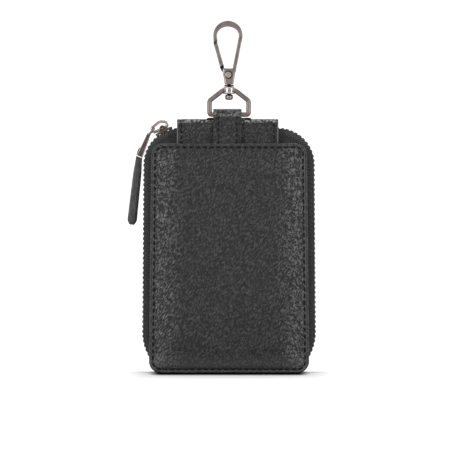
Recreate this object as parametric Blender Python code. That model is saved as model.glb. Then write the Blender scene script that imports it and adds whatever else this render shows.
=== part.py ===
"""Zip-around leather key case that hangs on a swivel snap hook.

Metres, +Z up. The face looks along -Y, X = 0 is the ring's middle, Z = 0 is the
ground and Y = 0 is the plane in which the two rows of the zip meet.
Run: blender --background --python part.py
"""

import math

import bmesh
import bpy
from mathutils import Vector

# Fits
GAP = 0.0003
TURN_GAP = 0.00025
JOIN = 0.0004
THROUGH = 0.002

# Case faces
PANEL_HEIGHT = 0.0981
PANEL_TOP_HALF = 0.0333
PANEL_FOOT_HALF = 0.0342
PANEL_CORNER = 0.0051
PANEL_EDGE = 0.0013
PANEL_CROWN = 0.0022
PANEL_PAD_RUN = 0.0133
PANEL_PROFILE_SHARES = ((0, 0), (0.045, 0.11), (0.135, 0.17), (0.27, 0.5), (0.5, 0.86), (1, 1))

# Linings, frame and spine
LINING = 0.0004
LINING_MARGIN = 0.001
NOTCH_DEPTH = 0.0129
FRAME_INSET = 0.0012
SPINE = 0.001
FOLD_AXIS_IN = 0.0016

# Zip chain
CHAIN_TOP_RISE = 0.0069
CHAIN_TOP_STANDOFF = 0.0035
CHAIN_LOW_STANDOFF = 0.0031
CHAIN_CORNER = 0.0158
CHAIN_LOW_Z = 0.017
CHAIN_FOOT_INSET = 0.0037
CHAIN_FOOT_Z = 0.0017
TOOTH_PITCH = 0.0021
TOOTH_DEPTH = 0.0005
COIL_DEPTH = 0.0012
COIL_WIDTH = 0.0013
COIL_HALF_GAP = 0.00015

# Zip tape
TAPE = 0.0004
TAPE_TURN = 0.003
TAPE_START = 0.0004
TAPE_FLANGE = 0.005
TAPE_WALL_START_SHARE = 0.38
TAPE_WALL_END_SHARE = 0.6
FLANGE_FRONT_Y = 0.0028
FLANGE_REAR_Y = 0.0065

# Hanging tab and loop
TAB_LEFT_X = -0.0223
TAB_RIGHT_X = 0.0211
TAB_THICK = 0.0019
TAB_RISE = 0.0105
TAB_TUCK = 0.0123
TAB_SLIT = 0.0003
STRAP = 0.0012
STRAP_WIDTH = 0.0121
STRAP_MIDDLE_X = -0.0007
STRAP_TUCK = 0.0096
STRAP_BACK_LAP = 0.003

# Ring and swivel
RING_STOCK = 0.002
RING_HALF = 0.00835
RING_SHOULDER_RISE = 0.0059
RING_TOP_HALF = 0.0027
RING_HEIGHT = 0.0103
BAR_RISE = 0.0019
RING_BEND = 0.0011
BOSS_RADIUS = 0.0026
BOSS_HEIGHT = 0.0029
POST_RADIUS = 0.0008
POST_HEAD_RADIUS = 0.0017
POST_HEAD_HEIGHT = 0.0023
COLLAR_RADIUS = 0.0021
COLLAR_HEIGHT = 0.0006
SPIGOT_HEIGHT = 0.0011

# Snap hook
HOOK_THICK = 0.0026
HOOK_LEG_RISE = 0.0141
HOOK_MIDDLE_X = -0.0005
HOOK_OUT_RADIUS = 0.0063
HOOK_CROWN_STOCK = 0.0024
HOOK_LEG_STOCK = 0.0016
HOOK_BASE_HEIGHT = 0.0068
HOOK_BASE_FOOT_HALF = 0.00185
HOOK_BASE_TOP_HALF = 0.003
HOOK_NOSE_DROP = 0.0029
PIVOT_X = -0.0003
PIVOT_RISE = 0.0041
PIVOT_RADIUS = 0.0009
PIVOT_HEAD_RADIUS = 0.0016
PIVOT_HEAD = 0.0004
FORK_WALL = 0.0006
LUG_RADIUS = 0.0017
GATE_WIDTH = 0.0014
GATE_THICK = 0.0022
GATE_TIP_GAP = 0.0006
GATE_TIP_IN = 0.00025
GATE_ELBOW_OUT = 0.00245
GATE_ELBOW_RISE = 0.0024
GATE_SHOULDER_GAP = 0.0004
LEAF_SPRING = 0.0003

# Zip slider, bail and pull
SLIDER_LEFT_TURN = math.radians(40)
SLIDER_RIGHT_TURN = math.radians(12)
PLATE = 0.0006
PLATE_HALF = 0.0024
INNER_PLATE = 0.0008
INNER_HALF = 0.00135
WEDGE_HALF = 0.00045
WEDGE_TURN = math.radians(5)
EYE_LENGTH = 0.002
EYE_HALF = 0.0011
BAIL_STOCK = 0.0008
BAIL_RIGHT = 0.0025
BAIL_LEFT = 0.0043
BAIL_RIGHT_RISE = 0.0019
BAIL_LEFT_RISE = 0.0021
BAIL_RISE = 0.003
BAIL_CROWN_RIGHT = 0.0007
BAIL_CROWN_LEFT = 0.0006
BAIL_BEND = 0.0004
LINK_STOCK = 0.0007
LINK_LENGTH = 0.00365
LINK_ROOM = 0.0003
LINK_BEND = 0.0005
LINK_TURN = math.radians(40)
CLAMP_TOP_HALF = 0.0009
CLAMP_FOOT_HALF = 0.00115
CLAMP_LENGTH = 0.0112
CLAMP_THICK = 0.0024
CLAMP_WALL = 0.0005
CLAMP_TURN = math.radians(22.5)
PULL_LEAF = 0.0013
PULL_TONGUE = 0.0003
PULL_HALF = 0.0018
PULL_LENGTH = 0.0288
PULL_TAIL = 0.0045
PULL_TURN = math.radians(7)
PULL_TIP = 0.0033

# Key rail and hooks
RAIL_SIDE_ROOM = 0.0068
RAIL_HALF_HEIGHT = 0.0032
RAIL_THICK = 0.0006
RAIL_DROP = 0.0106
RAIL_CORNER = 0.0012
RAIL_RIVET_INSET = 0.0023
RIVET_RADIUS = 0.0009
RIVET_HEAD_RADIUS = 0.0017
RIVET_HEAD = 0.0005
KEY_HOOK_COUNT = 4
KEY_HOOK_END_ROOM = 0.0047
KEY_HOOK_THICK = 0.0008
KEY_STOCK = 0.0012
KEY_EYE_RADIUS = 0.0021
KEY_PIN_RADIUS = 0.0008
KEY_PIN_HEAD_RADIUS = 0.0015
KEY_PIN_HEAD = 0.0005
KEY_SHANK = 0.0115
KEY_BEND = 0.002
KEY_TIP = 0.0028
TONGUE_STOCK = 0.0004

# How finely round things are cut
CORNER_STEPS = 6
ROUND_STEPS = 20
WIRE_STEPS = 10

# Heights and widths that follow the face
CHAIN_TOP_Z = PANEL_HEIGHT + CHAIN_TOP_RISE
CHAIN_TOP_HALF = PANEL_TOP_HALF + CHAIN_TOP_STANDOFF
CHAIN_LOW_HALF = PANEL_FOOT_HALF + CHAIN_LOW_STANDOFF
CHAIN_FOOT_HALF = PANEL_FOOT_HALF - CHAIN_FOOT_INSET
NOTCH_Z = PANEL_HEIGHT - NOTCH_DEPTH
TAB_TOP_Z = PANEL_HEIGHT + TAB_RISE
TAB_FOOT_Z = PANEL_HEIGHT - TAB_TUCK
STRAP_FOOT_Z = PANEL_HEIGHT - STRAP_TUCK
STRAP_BACK_Z = TAB_TOP_Z - STRAP_BACK_LAP
BAR_Z = TAB_TOP_Z + BAR_RISE
RING_SHOULDER_Z = BAR_Z + RING_SHOULDER_RISE
RAIL_Z = PANEL_HEIGHT - RAIL_DROP
RAIL_HALF = PANEL_TOP_HALF - RAIL_SIDE_ROOM
RAIL_RIVET_X = RAIL_HALF - RAIL_RIVET_INSET
KEY_HOOK_PITCH = 2 * (RAIL_RIVET_X - KEY_HOOK_END_ROOM) / (KEY_HOOK_COUNT - 1)

# Depths worked out from the layers between chain and face
TAB_BACK_Y = -(FLANGE_FRONT_Y + TAPE + GAP)
TAB_FRONT_Y = TAB_BACK_Y - TAB_THICK
STRAP_FRONT_Y = TAB_FRONT_Y - GAP - STRAP
PANEL_BACK = GAP - STRAP_FRONT_Y
BAR_Y = (TAB_BACK_Y + TAB_FRONT_Y) / 2
CORNER_X = CHAIN_CORNER - CHAIN_TOP_HALF
CORNER_Z = CHAIN_TOP_Z - CHAIN_CORNER
SLIDER_MID_TURN = (SLIDER_LEFT_TURN + SLIDER_RIGHT_TURN) / 2


def clear_scene():
    for item in list(bpy.data.objects):
        bpy.data.objects.remove(item, do_unlink=True)


def make_material(name, colour, roughness, metallic):
    material = bpy.data.materials.new(name)
    material.use_nodes = True
    shader = material.node_tree.nodes["Principled BSDF"]
    shader.inputs["Base Color"].default_value = (*colour, 1.0)
    shader.inputs["Roughness"].default_value = roughness
    shader.inputs["Metallic"].default_value = metallic
    material.diffuse_color = (*colour, 1.0)
    return material


LEATHER = ((0.045, 0.045, 0.046), 0.55, 0.0)
CLOTH = ((0.03, 0.03, 0.032), 0.9, 0.0)
GUNMETAL = ((0.32, 0.27, 0.26), 0.28, 1.0)
STEEL = ((0.6, 0.6, 0.6), 0.3, 1.0)
BOARD = ((0.2, 0.18, 0.15), 0.9, 0.0)


def make_object(name, mesh_data, finish, smooth=False, origin=(0, 0, 0)):
    """An object from (points, faces), its origin on the axis that it turns on."""
    points, faces = mesh_data
    mesh = bpy.data.meshes.new(name)
    start = Vector(origin)
    mesh.from_pydata([tuple(p - start) for p in points], [], faces)
    shape = bmesh.new()
    shape.from_mesh(mesh)
    bmesh.ops.recalc_face_normals(shape, faces=shape.faces)
    shape.to_mesh(mesh)
    shape.free()
    if smooth:
        for face in mesh.polygons:
            face.use_smooth = True
        mesh.set_sharp_from_angle(angle=math.radians(40))
    mesh.materials.append(make_material(name, *finish))
    item = bpy.data.objects.new(name, mesh)
    item.location = start
    bpy.context.collection.objects.link(item)
    return item


def add_boolean(target, tool, operation):
    tool.hide_render = True
    tool.display_type = "WIRE"
    step = target.modifiers.new(operation.lower() + "_" + tool.name, "BOOLEAN")
    step.object = tool
    step.operation = operation
    step.solver = "EXACT"


def loft(rings, closed=False):
    """Skin rings that have one count of points. Open lofts get end caps."""
    count = len(rings[0])
    points = [p for ring in rings for p in ring]
    spans = len(rings) if closed else len(rings) - 1
    faces = []
    for i in range(spans):
        here = i * count
        there = ((i + 1) % len(rings)) * count
        for k in range(count):
            after = (k + 1) % count
            faces.append((here + k, here + after, there + after, there + k))
    if not closed:
        faces.append(tuple(range(count))[::-1])
        last = (len(rings) - 1) * count
        faces.append(tuple(last + k for k in range(count)))
    return points, faces


def prism(outline, y_low, y_high):
    """An outline of (x, z) points carried from one depth to another."""
    return loft([[Vector((x, y, z)) for x, z in outline] for y in (y_low, y_high)])


def box(low, high):
    outline = [(low[0], low[2]), (high[0], low[2]), (high[0], high[2]), (low[0], high[2])]
    return prism(outline, low[1], high[1])


def arc(middle, radius, start, end, steps):
    """Points (x, z) on an arc, its turns counted from +X towards +Z."""
    turns = [start + (end - start) * i / steps for i in range(steps + 1)]
    return [(middle[0] + radius * math.cos(t), middle[1] + radius * math.sin(t)) for t in turns]


def circle(middle, radius, steps=ROUND_STEPS):
    return arc(middle, radius, 0, math.tau, steps)[:-1]


def disc(middle, radius, y_low, y_high):
    return prism(circle(middle, radius), y_low, y_high)


def pin(middle, profile):
    """A headed pin on a level axis along Y, from (radius, y) steps."""
    return loft([[Vector((x, y, z)) for x, z in circle(middle, radius)] for radius, y in profile])


def turned(axis_x, axis_y, profile):
    """A turned piece on an upright axis from (radius, z) steps, top to bottom."""
    rings = []
    for radius, z in profile:
        rings.append([Vector((x, y, z)) for x, y in circle((axis_x, axis_y), radius)])
    return loft(rings)


def tube(path, radius, closed=False, steps=WIRE_STEPS):
    """A round wire along a flat path of points. Its rings are mitred at the bends."""
    rings = []
    total = len(path)
    flat = plane_normal(path)
    for i, point in enumerate(path):
        before = path[i - 1] if closed or i else point
        after = path[(i + 1) % total] if closed or i < total - 1 else point
        ahead = (after - point).normalized() if after != point else (point - before).normalized()
        back = (point - before).normalized() if point != before else ahead
        along = (ahead + back).normalized()
        side = along.cross(flat).normalized()
        stretch = 1 / max(along.dot(ahead), math.cos(math.radians(60)))
        ring = []
        for k in range(steps):
            turn = math.tau * (k + 0.5) / steps
            ring.append(point + side * (radius * stretch * math.cos(turn))
                        + flat * (radius * math.sin(turn)))
        rings.append(ring)
    return loft(rings, closed)


def plane_normal(path):
    normal = Vector()
    for i, point in enumerate(path):
        normal += point.cross(path[(i + 1) % len(path)])
    if normal.length == 0:
        return Vector((0, 1, 0))
    return normal.normalized()


def stroke(path, widths):
    """The outline of a flat strip of changing width along (x, z) points."""
    left, right = [], []
    for i, (x, z) in enumerate(path):
        back = path[max(i - 1, 0)]
        ahead = path[min(i + 1, len(path) - 1)]
        run = Vector((ahead[0] - back[0], ahead[1] - back[1])).normalized()
        left.append((x - run.y * widths[i] / 2, z + run.x * widths[i] / 2))
        right.append((x + run.y * widths[i] / 2, z - run.x * widths[i] / 2))
    return left + right[::-1]


def along(path, share):
    """The point a share of the way along a line of points."""
    lengths = [(b - a).length for a, b in zip(path, path[1:])]
    left = share * sum(lengths)
    for start, end, length in zip(path, path[1:], lengths):
        if left <= length or end is path[-1]:
            return start.lerp(end, min(left / length, 1) if length else 0)
        left -= length
    return path[-1]


def panel_outline(inset):
    """The face's outline, drawn in by the inset: narrower at the top than at the foot."""
    corner = max(PANEL_CORNER - inset, PANEL_CORNER / 4)
    foot = PANEL_FOOT_HALF - inset - corner
    top = PANEL_TOP_HALF - inset - corner
    low = inset + corner
    high = PANEL_HEIGHT - inset - corner
    outline = arc((foot, low), corner, -math.pi / 2, 0, CORNER_STEPS)
    outline += arc((top, high), corner, 0, math.pi / 2, CORNER_STEPS)
    outline += arc((-top, high), corner, math.pi / 2, math.pi, CORNER_STEPS)
    outline += arc((-foot, low), corner, math.pi, math.pi * 1.5, CORNER_STEPS)
    return outline


def face_panel(name, side, origin):
    """A padded face: a flat back, an upright edge and a crowned front."""
    rings = [[Vector((x, side * PANEL_BACK, z)) for x, z in panel_outline(0)]]
    for inset_share, rise_share in PANEL_PROFILE_SHARES:
        inset = PANEL_PAD_RUN * inset_share
        depth = side * (PANEL_BACK + PANEL_EDGE + PANEL_CROWN * rise_share)
        rings.append([Vector((x, depth, z)) for x, z in panel_outline(inset)])
    return make_object(name, loft(rings), LEATHER, smooth=True, origin=origin)


def chain_sections():
    """The chain's outline on the left, from the foot to the middle of the top."""
    drop = CHAIN_LOW_Z - CHAIN_FOOT_Z
    run = CHAIN_LOW_HALF - CHAIN_FOOT_HALF
    bend = (drop * drop + run * run) / (2 * run)
    turn = math.asin(drop / bend)
    foot = arc((bend - CHAIN_LOW_HALF, CHAIN_LOW_Z), bend, math.pi + turn, math.pi, CORNER_STEPS)
    side = [foot[-1], (-CHAIN_TOP_HALF, CORNER_Z)]
    corner = arc((CORNER_X, CORNER_Z), CHAIN_CORNER, math.pi, math.pi / 2, 4 * CORNER_STEPS)
    top = [corner[-1], (0, CHAIN_TOP_Z)]
    return [[Vector(p) for p in section] for section in (foot, side, corner, top)]


def flange_sections():
    """Where the tape ends behind the face, cut to match the chain's sections."""
    inset = TAPE_FLANGE
    bend = PANEL_CORNER / 4
    foot_x = inset + bend - PANEL_FOOT_HALF
    top_x = inset + bend - PANEL_TOP_HALF
    top_z = PANEL_HEIGHT - inset - bend
    foot = arc((foot_x, inset + bend), bend, math.pi * 1.5, math.pi, CORNER_STEPS)
    foot.append((inset - PANEL_FOOT_HALF, CHAIN_LOW_Z))
    side = [foot[-1], (inset - PANEL_TOP_HALF, CORNER_Z)]
    corner = [side[-1]] + arc((top_x, top_z), bend, math.pi, math.pi / 2, CORNER_STEPS)
    corner.append((CORNER_X, PANEL_HEIGHT - inset))
    top = [corner[-1], (0, PANEL_HEIGHT - inset)]
    return [[Vector(p) for p in section] for section in (foot, side, corner, top)]


def mirrored(points):
    return points + [Vector((-p.x, p.y)) for p in points[-2::-1]]


def route(sections, counts):
    """Stations along the sections, then back down the other side."""
    points = []
    for section, count in zip(sections, counts):
        points += [along(section, i / count) for i in range(count)]
    points.append(sections[-1][-1])
    return mirrored(points)


def offset_line(line, half):
    """The two sides of a thin wall drawn about a line of 2-D points."""
    outer, inner = [], []
    for i, point in enumerate(line):
        ahead = (line[min(i + 1, len(line) - 1)] - point)
        back = (point - line[max(i - 1, 0)])
        ahead = ahead.normalized() if ahead.length else back.normalized()
        back = back.normalized() if back.length else ahead
        run = (ahead + back).normalized()
        across = Vector((-run.y, run.x)) * (half / run.dot(ahead))
        outer.append(point + across)
        inner.append(point - across)
    return outer, inner


def tape_half(name, side, flange_depth, origin):
    """Tape from the chain to the flange behind a face, as one thin wall."""
    counts = (5, 3, 9, 3)
    chain = route(chain_sections(), counts)
    flange = route(flange_sections(), counts)
    tape_y = COIL_HALF_GAP + COIL_WIDTH + GAP + TAPE / 2
    rings = []
    for here, edge in zip(chain, flange):
        length = (edge - here).length
        ahead = (edge - here) / length
        line = [
            Vector((TAPE_START, tape_y)),
            Vector((min(TAPE_TURN, length * TAPE_WALL_START_SHARE), tape_y)),
            Vector((max(length - TAPE_FLANGE, length * TAPE_WALL_END_SHARE),
                    flange_depth + TAPE / 2)),
            Vector((length, flange_depth + TAPE / 2)),
        ]
        outer, inner = offset_line(line, TAPE / 2)
        ring = []
        for step in outer + inner[::-1]:
            spot = here + ahead * step.x
            ring.append(Vector((spot.x, side * step.y, spot.y)))
        rings.append(ring)
    return make_object(name, loft(rings), CLOTH, origin=origin)


def wedge_room(spot):
    """How far a row stands off the middle plane: it parts round the slider's wedge."""
    turn = math.atan2(CORNER_X - spot.x, spot.y - CORNER_Z)
    away = abs(turn - SLIDER_MID_TURN)
    parted = WEDGE_HALF + GAP
    if spot.x > 0 or spot.y < CORNER_Z or away > 2.5 * WEDGE_TURN:
        return COIL_HALF_GAP
    if away < 1.6 * WEDGE_TURN:
        return parted
    share = (away / WEDGE_TURN - 1.6) / 0.9
    return parted + (COIL_HALF_GAP - parted) * share


def zip_row(name, side, origin):
    """One row of the chain: a strip whose outer edge is toothed."""
    sections = chain_sections()
    counts = []
    for section in sections:
        length = sum((b - a).length for a, b in zip(section, section[1:]))
        counts.append(2 * max(round(length / TOOTH_PITCH), 1))
    spots = route(sections, counts)
    rings = []
    for i, spot in enumerate(spots):
        run = (spots[min(i + 1, len(spots) - 1)] - spots[max(i - 1, 0)]).normalized()
        inward = Vector((run.y, -run.x))
        crest = spot + inward * (TOOTH_DEPTH * (i % 2))
        root = spot + inward * COIL_DEPTH
        near = side * wedge_room(spot)
        far = side * (COIL_HALF_GAP + COIL_WIDTH)
        rings.append([
            Vector((crest.x, near, crest.y)), Vector((crest.x, far, crest.y)),
            Vector((root.x, far, root.y)), Vector((root.x, near, root.y)),
        ])
    return make_object(name, loft(rings), CLOTH, origin=origin)


def case_half(prefix, side, flange_depth, origin):
    face_panel(prefix + "_panel", side, origin)
    tape_half(prefix + "_tape", side, flange_depth, origin)
    zip_row(prefix + "_coil", side, origin)
    outline = panel_outline(TAPE_FLANGE + LINING_MARGIN)
    lining_data = prism(outline, side * flange_depth, side * (flange_depth + LINING))
    return make_object(prefix + "_lining", lining_data, CLOTH, origin=origin)


def hairpin(x_low, x_high, outer, inner, y_mid, foot_out, foot_in, top_z):
    """A strip folded over at the top: a front leg, a round fold and a back leg."""
    middle = top_z - outer
    line = [(y_mid - outer, foot_out)]
    line += arc((y_mid, middle), outer, math.pi, 0, 2 * CORNER_STEPS)
    line += [(y_mid + outer, foot_in), (y_mid + inner, foot_in)]
    line += arc((y_mid, middle), inner, 0, math.pi, 2 * CORNER_STEPS)
    line.append((y_mid - inner, foot_out))
    return loft([[Vector((x, y, z)) for y, z in line] for x in (x_low, x_high)])


def bent(path, radius):
    """A closed path of (x, z) corners with each corner cut round in three points."""
    points = []
    for i, corner in enumerate(path):
        here = Vector(corner)
        before = Vector(path[i - 1])
        after = Vector(path[(i + 1) % len(path)])
        start = here + (before - here).normalized() * radius
        end = here + (after - here).normalized() * radius
        middle = (start + end) / 4 + here / 2
        points += [start, middle, end]
    return points


clear_scene()

# Case
fold_axis = (0, PANEL_BACK + FOLD_AXIS_IN, SPINE)
case_half("front", -1, FLANGE_FRONT_Y, (0, 0, 0))
lining = case_half("rear", 1, FLANGE_REAR_Y, fold_axis)

# Frame behind the front face, notched at the top for the tab
frame_outline = panel_outline(FRAME_INSET)
frame_top = PANEL_HEIGHT - FRAME_INSET
notch_at = 2 * (CORNER_STEPS + 1)
frame_outline[notch_at:notch_at] = [
    (TAB_RIGHT_X + GAP, frame_top), (TAB_RIGHT_X + GAP, NOTCH_Z),
    (TAB_LEFT_X - GAP, NOTCH_Z), (TAB_LEFT_X - GAP, frame_top),
]
make_object("front_frame", prism(frame_outline, STRAP_FRONT_Y, TAB_BACK_Y), LEATHER)

spine_front = GAP - PANEL_BACK
spine_back = PANEL_BACK - GAP
spine_box = box((-CHAIN_FOOT_HALF, spine_front, 0), (CHAIN_FOOT_HALF, spine_back, SPINE))
make_object("bottom_spine", spine_box, LEATHER)

# Tab and loop
tab_fold = TAB_THICK / 2
tab_data = hairpin(TAB_LEFT_X, TAB_RIGHT_X, tab_fold, TAB_SLIT / 2, BAR_Y, TAB_FOOT_Z,
                   TAB_FOOT_Z, TAB_TOP_Z)
make_object("hang_tab", tab_data, LEATHER, smooth=True)

loop_inner = tab_fold + GAP
loop_left = STRAP_MIDDLE_X - STRAP_WIDTH / 2
loop_right = STRAP_MIDDLE_X + STRAP_WIDTH / 2
loop_top = BAR_Z + loop_inner + STRAP
loop_data = hairpin(loop_left, loop_right, loop_inner + STRAP, loop_inner, BAR_Y, STRAP_FOOT_Z,
                    STRAP_BACK_Z, loop_top)
make_object("hang_loop", loop_data, LEATHER, smooth=True)

# Ring with the swivel's boss
ring_top_z = BAR_Z + RING_HEIGHT
ring_corners = [
    (-RING_HALF, BAR_Z), (-RING_HALF, RING_SHOULDER_Z), (-RING_TOP_HALF, ring_top_z),
    (RING_TOP_HALF, ring_top_z), (RING_HALF, RING_SHOULDER_Z), (RING_HALF, BAR_Z),
]
ring_path = [Vector((p.x, BAR_Y, p.y)) for p in bent(ring_corners, RING_BEND)]
bar_spot = (0, BAR_Y, BAR_Z)
ring = make_object("ring", tube(ring_path, RING_STOCK / 2, closed=True), GUNMETAL, smooth=True,
                   origin=bar_spot)
boss_low = ring_top_z - BOSS_HEIGHT / 2
boss_high = ring_top_z + BOSS_HEIGHT / 2
boss = make_object("cut_boss", turned(0, BAR_Y, [(BOSS_RADIUS, boss_high), (BOSS_RADIUS, boss_low)]),
                   GUNMETAL)
bore_radius = POST_RADIUS + TURN_GAP
bore = make_object("cut_boss_bore", turned(0, BAR_Y, [(bore_radius, boss_high + THROUGH),
                                                      (bore_radius, boss_low - THROUGH)]), GUNMETAL)
add_boolean(ring, boss, "UNION")
add_boolean(ring, bore, "DIFFERENCE")

# Post with its head, collar and spigot
collar_low = boss_high + TURN_GAP
collar_high = collar_low + COLLAR_HEIGHT
head_high = boss_low - TURN_GAP
head_low = head_high - POST_HEAD_HEIGHT
head_round = POST_HEAD_HEIGHT / 4
post_steps = [
    (POST_RADIUS, collar_high + SPIGOT_HEIGHT), (POST_RADIUS, collar_high),
    (COLLAR_RADIUS, collar_high), (COLLAR_RADIUS, collar_low), (POST_RADIUS, collar_low),
    (POST_RADIUS, head_high), (POST_HEAD_RADIUS, head_high),
    (POST_HEAD_RADIUS, head_low + head_round), (POST_HEAD_RADIUS - head_round, head_low),
]
swivel_spot = (0, BAR_Y, ring_top_z)
make_object("swivel_post", turned(0, BAR_Y, post_steps), GUNMETAL, smooth=True,
            origin=swivel_spot)

# Snap hook
hook_low_y = BAR_Y - HOOK_THICK / 2
hook_high_y = BAR_Y + HOOK_THICK / 2
base_low = collar_high + GAP
base_top = base_low + HOOK_BASE_HEIGHT
crown_z = base_top + HOOK_LEG_RISE
nose_z = crown_z - HOOK_NOSE_DROP
crown_across = HOOK_OUT_RADIUS - HOOK_LEG_STOCK / 2
crown_rise = HOOK_OUT_RADIUS - HOOK_CROWN_STOCK / 2
leg_foot_x = HOOK_BASE_TOP_HALF - HOOK_LEG_STOCK / 2
hook_path = [(leg_foot_x, base_top - JOIN * 2)]
hook_widths = [HOOK_LEG_STOCK]
crown_steps = 4 * CORNER_STEPS
for step in range(crown_steps + 1):
    turn = math.radians(-6) + math.radians(192) * step / crown_steps
    hook_path.append((HOOK_MIDDLE_X + crown_across * math.cos(turn),
                      crown_z + crown_rise * math.sin(turn)))
    fuller = max(math.sin(turn), 0) ** 2
    hook_widths.append(HOOK_LEG_STOCK + (HOOK_CROWN_STOCK - HOOK_LEG_STOCK) * fuller)
hook_path.append((HOOK_MIDDLE_X - crown_across + JOIN / 2, nose_z))
hook_widths.append(HOOK_LEG_STOCK)
hook = make_object("hook_body", prism(stroke(hook_path, hook_widths), hook_low_y, hook_high_y),
                   GUNMETAL, origin=swivel_spot)
base_outline = [
    (-HOOK_BASE_FOOT_HALF, base_low), (HOOK_BASE_FOOT_HALF, base_low),
    (HOOK_BASE_TOP_HALF, base_top), (-HOOK_BASE_TOP_HALF, base_top),
]
base = make_object("cut_hook_base", prism(base_outline, hook_low_y, hook_high_y), GUNMETAL)
pivot = (PIVOT_X, base_low + PIVOT_RISE)
slot_half = HOOK_THICK / 2 - FORK_WALL
slot_floor = pivot[1] - LUG_RADIUS - GAP - LEAF_SPRING - GAP
slot_right = PIVOT_X + LUG_RADIUS + GAP
slot = make_object("cut_fork_slot", box(
    (-HOOK_BASE_TOP_HALF - THROUGH, BAR_Y - slot_half, slot_floor),
    (slot_right, BAR_Y + slot_half, base_top + JOIN)), GUNMETAL)
pivot_hole = make_object("cut_fork_hole", disc(pivot, PIVOT_RADIUS + GAP, hook_low_y - THROUGH,
                                               hook_high_y + THROUGH), GUNMETAL)
spigot_radius = POST_RADIUS + TURN_GAP
spigot_top = collar_high + SPIGOT_HEIGHT + GAP
spigot = make_object("cut_spigot_hole", turned(0, BAR_Y, [(spigot_radius, spigot_top),
                                                          (spigot_radius, base_low - THROUGH)]),
                     GUNMETAL)
add_boolean(hook, base, "UNION")
add_boolean(hook, slot, "DIFFERENCE")
add_boolean(hook, pivot_hole, "DIFFERENCE")
add_boolean(hook, spigot, "DIFFERENCE")

# Gate, with a thin lug in the fork and a full arm above it
gate_tip = Vector((HOOK_MIDDLE_X - crown_across + GATE_TIP_IN, nose_z - GATE_TIP_GAP))
elbow = Vector((pivot[0] - GATE_ELBOW_OUT, pivot[1] + GATE_ELBOW_RISE))
shoulder_z = base_top + GATE_SHOULDER_GAP
neck = elbow.lerp(gate_tip, (shoulder_z - elbow.y) / (gate_tip.y - elbow.y))
neck_end = neck + (gate_tip - neck).normalized() * JOIN
lug_half = slot_half - GAP
gate_low_y = BAR_Y - GATE_THICK / 2
gate_high_y = BAR_Y + GATE_THICK / 2
arm_outline = stroke([neck, gate_tip], [GATE_WIDTH, GATE_WIDTH])
gate = make_object("hook_gate", prism(arm_outline, gate_low_y, gate_high_y), GUNMETAL,
                   origin=(pivot[0], BAR_Y, pivot[1]))
shank = make_object("cut_gate_shank", prism(stroke([pivot, elbow, neck_end], [GATE_WIDTH] * 3),
                                            BAR_Y - lug_half, BAR_Y + lug_half), GUNMETAL)
lug = make_object("cut_gate_lug", disc(pivot, LUG_RADIUS, BAR_Y - lug_half, BAR_Y + lug_half),
                  GUNMETAL)
lug_hole = make_object("cut_gate_hole", disc(pivot, PIVOT_RADIUS + GAP, gate_low_y - THROUGH,
                                             gate_high_y + THROUGH), GUNMETAL)
add_boolean(gate, shank, "UNION")
add_boolean(gate, lug, "UNION")
add_boolean(gate, lug_hole, "DIFFERENCE")

head_low_y = hook_low_y - GAP
head_high_y = hook_high_y + GAP
rivet_steps = [
    (PIVOT_HEAD_RADIUS, head_low_y - PIVOT_HEAD), (PIVOT_HEAD_RADIUS, head_low_y),
    (PIVOT_RADIUS, head_low_y), (PIVOT_RADIUS, head_high_y),
    (PIVOT_HEAD_RADIUS, head_high_y), (PIVOT_HEAD_RADIUS, head_high_y + PIVOT_HEAD),
]
make_object("gate_rivet", pin(pivot, rivet_steps), GUNMETAL, smooth=True, origin=swivel_spot)

spring_low = slot_floor + GAP / 2
make_object("gate_spring", box(
    (PIVOT_X - LUG_RADIUS, BAR_Y - lug_half, spring_low),
    (PIVOT_X + LUG_RADIUS - GAP, BAR_Y + lug_half, spring_low + LEAF_SPRING)), STEEL,
    origin=swivel_spot)

# Zip slider
corner = (CORNER_X, CORNER_Z)


def corner_block(inner_radius, outer_radius, right_turn, left_turn, half):
    """A block that follows the zip's corner, its turns counted from the top."""
    quarter = math.pi / 2
    outline = arc(corner, outer_radius, quarter + right_turn, quarter + left_turn, CORNER_STEPS)
    outline += arc(corner, inner_radius, quarter + left_turn, quarter + right_turn, CORNER_STEPS)
    return prism(outline, -half, half)


plate_inner = CHAIN_CORNER + GAP
plate_outer = plate_inner + PLATE
wing_outer = CHAIN_CORNER - COIL_DEPTH - GAP
wing_inner = wing_outer - INNER_PLATE
eye_centre = plate_outer + BAIL_STOCK / 2 + TURN_GAP
eye_outer = eye_centre + BAIL_STOCK / 2 + TURN_GAP + PLATE
eye_turn = EYE_LENGTH / 2 / eye_centre
slider = make_object("slider_body", corner_block(plate_inner, plate_outer, SLIDER_RIGHT_TURN,
                                                 SLIDER_LEFT_TURN, PLATE_HALF), GUNMETAL,
                     origin=(CORNER_X, 0, CORNER_Z))
wing = make_object("cut_slider_wing", corner_block(wing_inner, wing_outer, SLIDER_RIGHT_TURN,
                                                   SLIDER_LEFT_TURN, INNER_HALF), GUNMETAL)
wedge = make_object("cut_slider_wedge", corner_block(
    wing_outer - JOIN, plate_inner + JOIN, SLIDER_MID_TURN - WEDGE_TURN,
    SLIDER_MID_TURN + WEDGE_TURN, WEDGE_HALF), GUNMETAL)
eye = make_object("cut_slider_eye", corner_block(
    plate_outer - JOIN, eye_outer, SLIDER_MID_TURN - eye_turn, SLIDER_MID_TURN + eye_turn,
    EYE_HALF), GUNMETAL)
tangent = Vector((-math.cos(SLIDER_MID_TURN), 0, -math.sin(SLIDER_MID_TURN)))
outward = Vector((-math.sin(SLIDER_MID_TURN), 0, math.cos(SLIDER_MID_TURN)))
centre = Vector((CORNER_X, 0, CORNER_Z))
eye_spot = centre + outward * eye_centre
eye_bore = make_object("cut_slider_bore", tube(
    [eye_spot - tangent * EYE_LENGTH, eye_spot + tangent * EYE_LENGTH],
    BAIL_STOCK / 2 + TURN_GAP), GUNMETAL)
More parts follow.
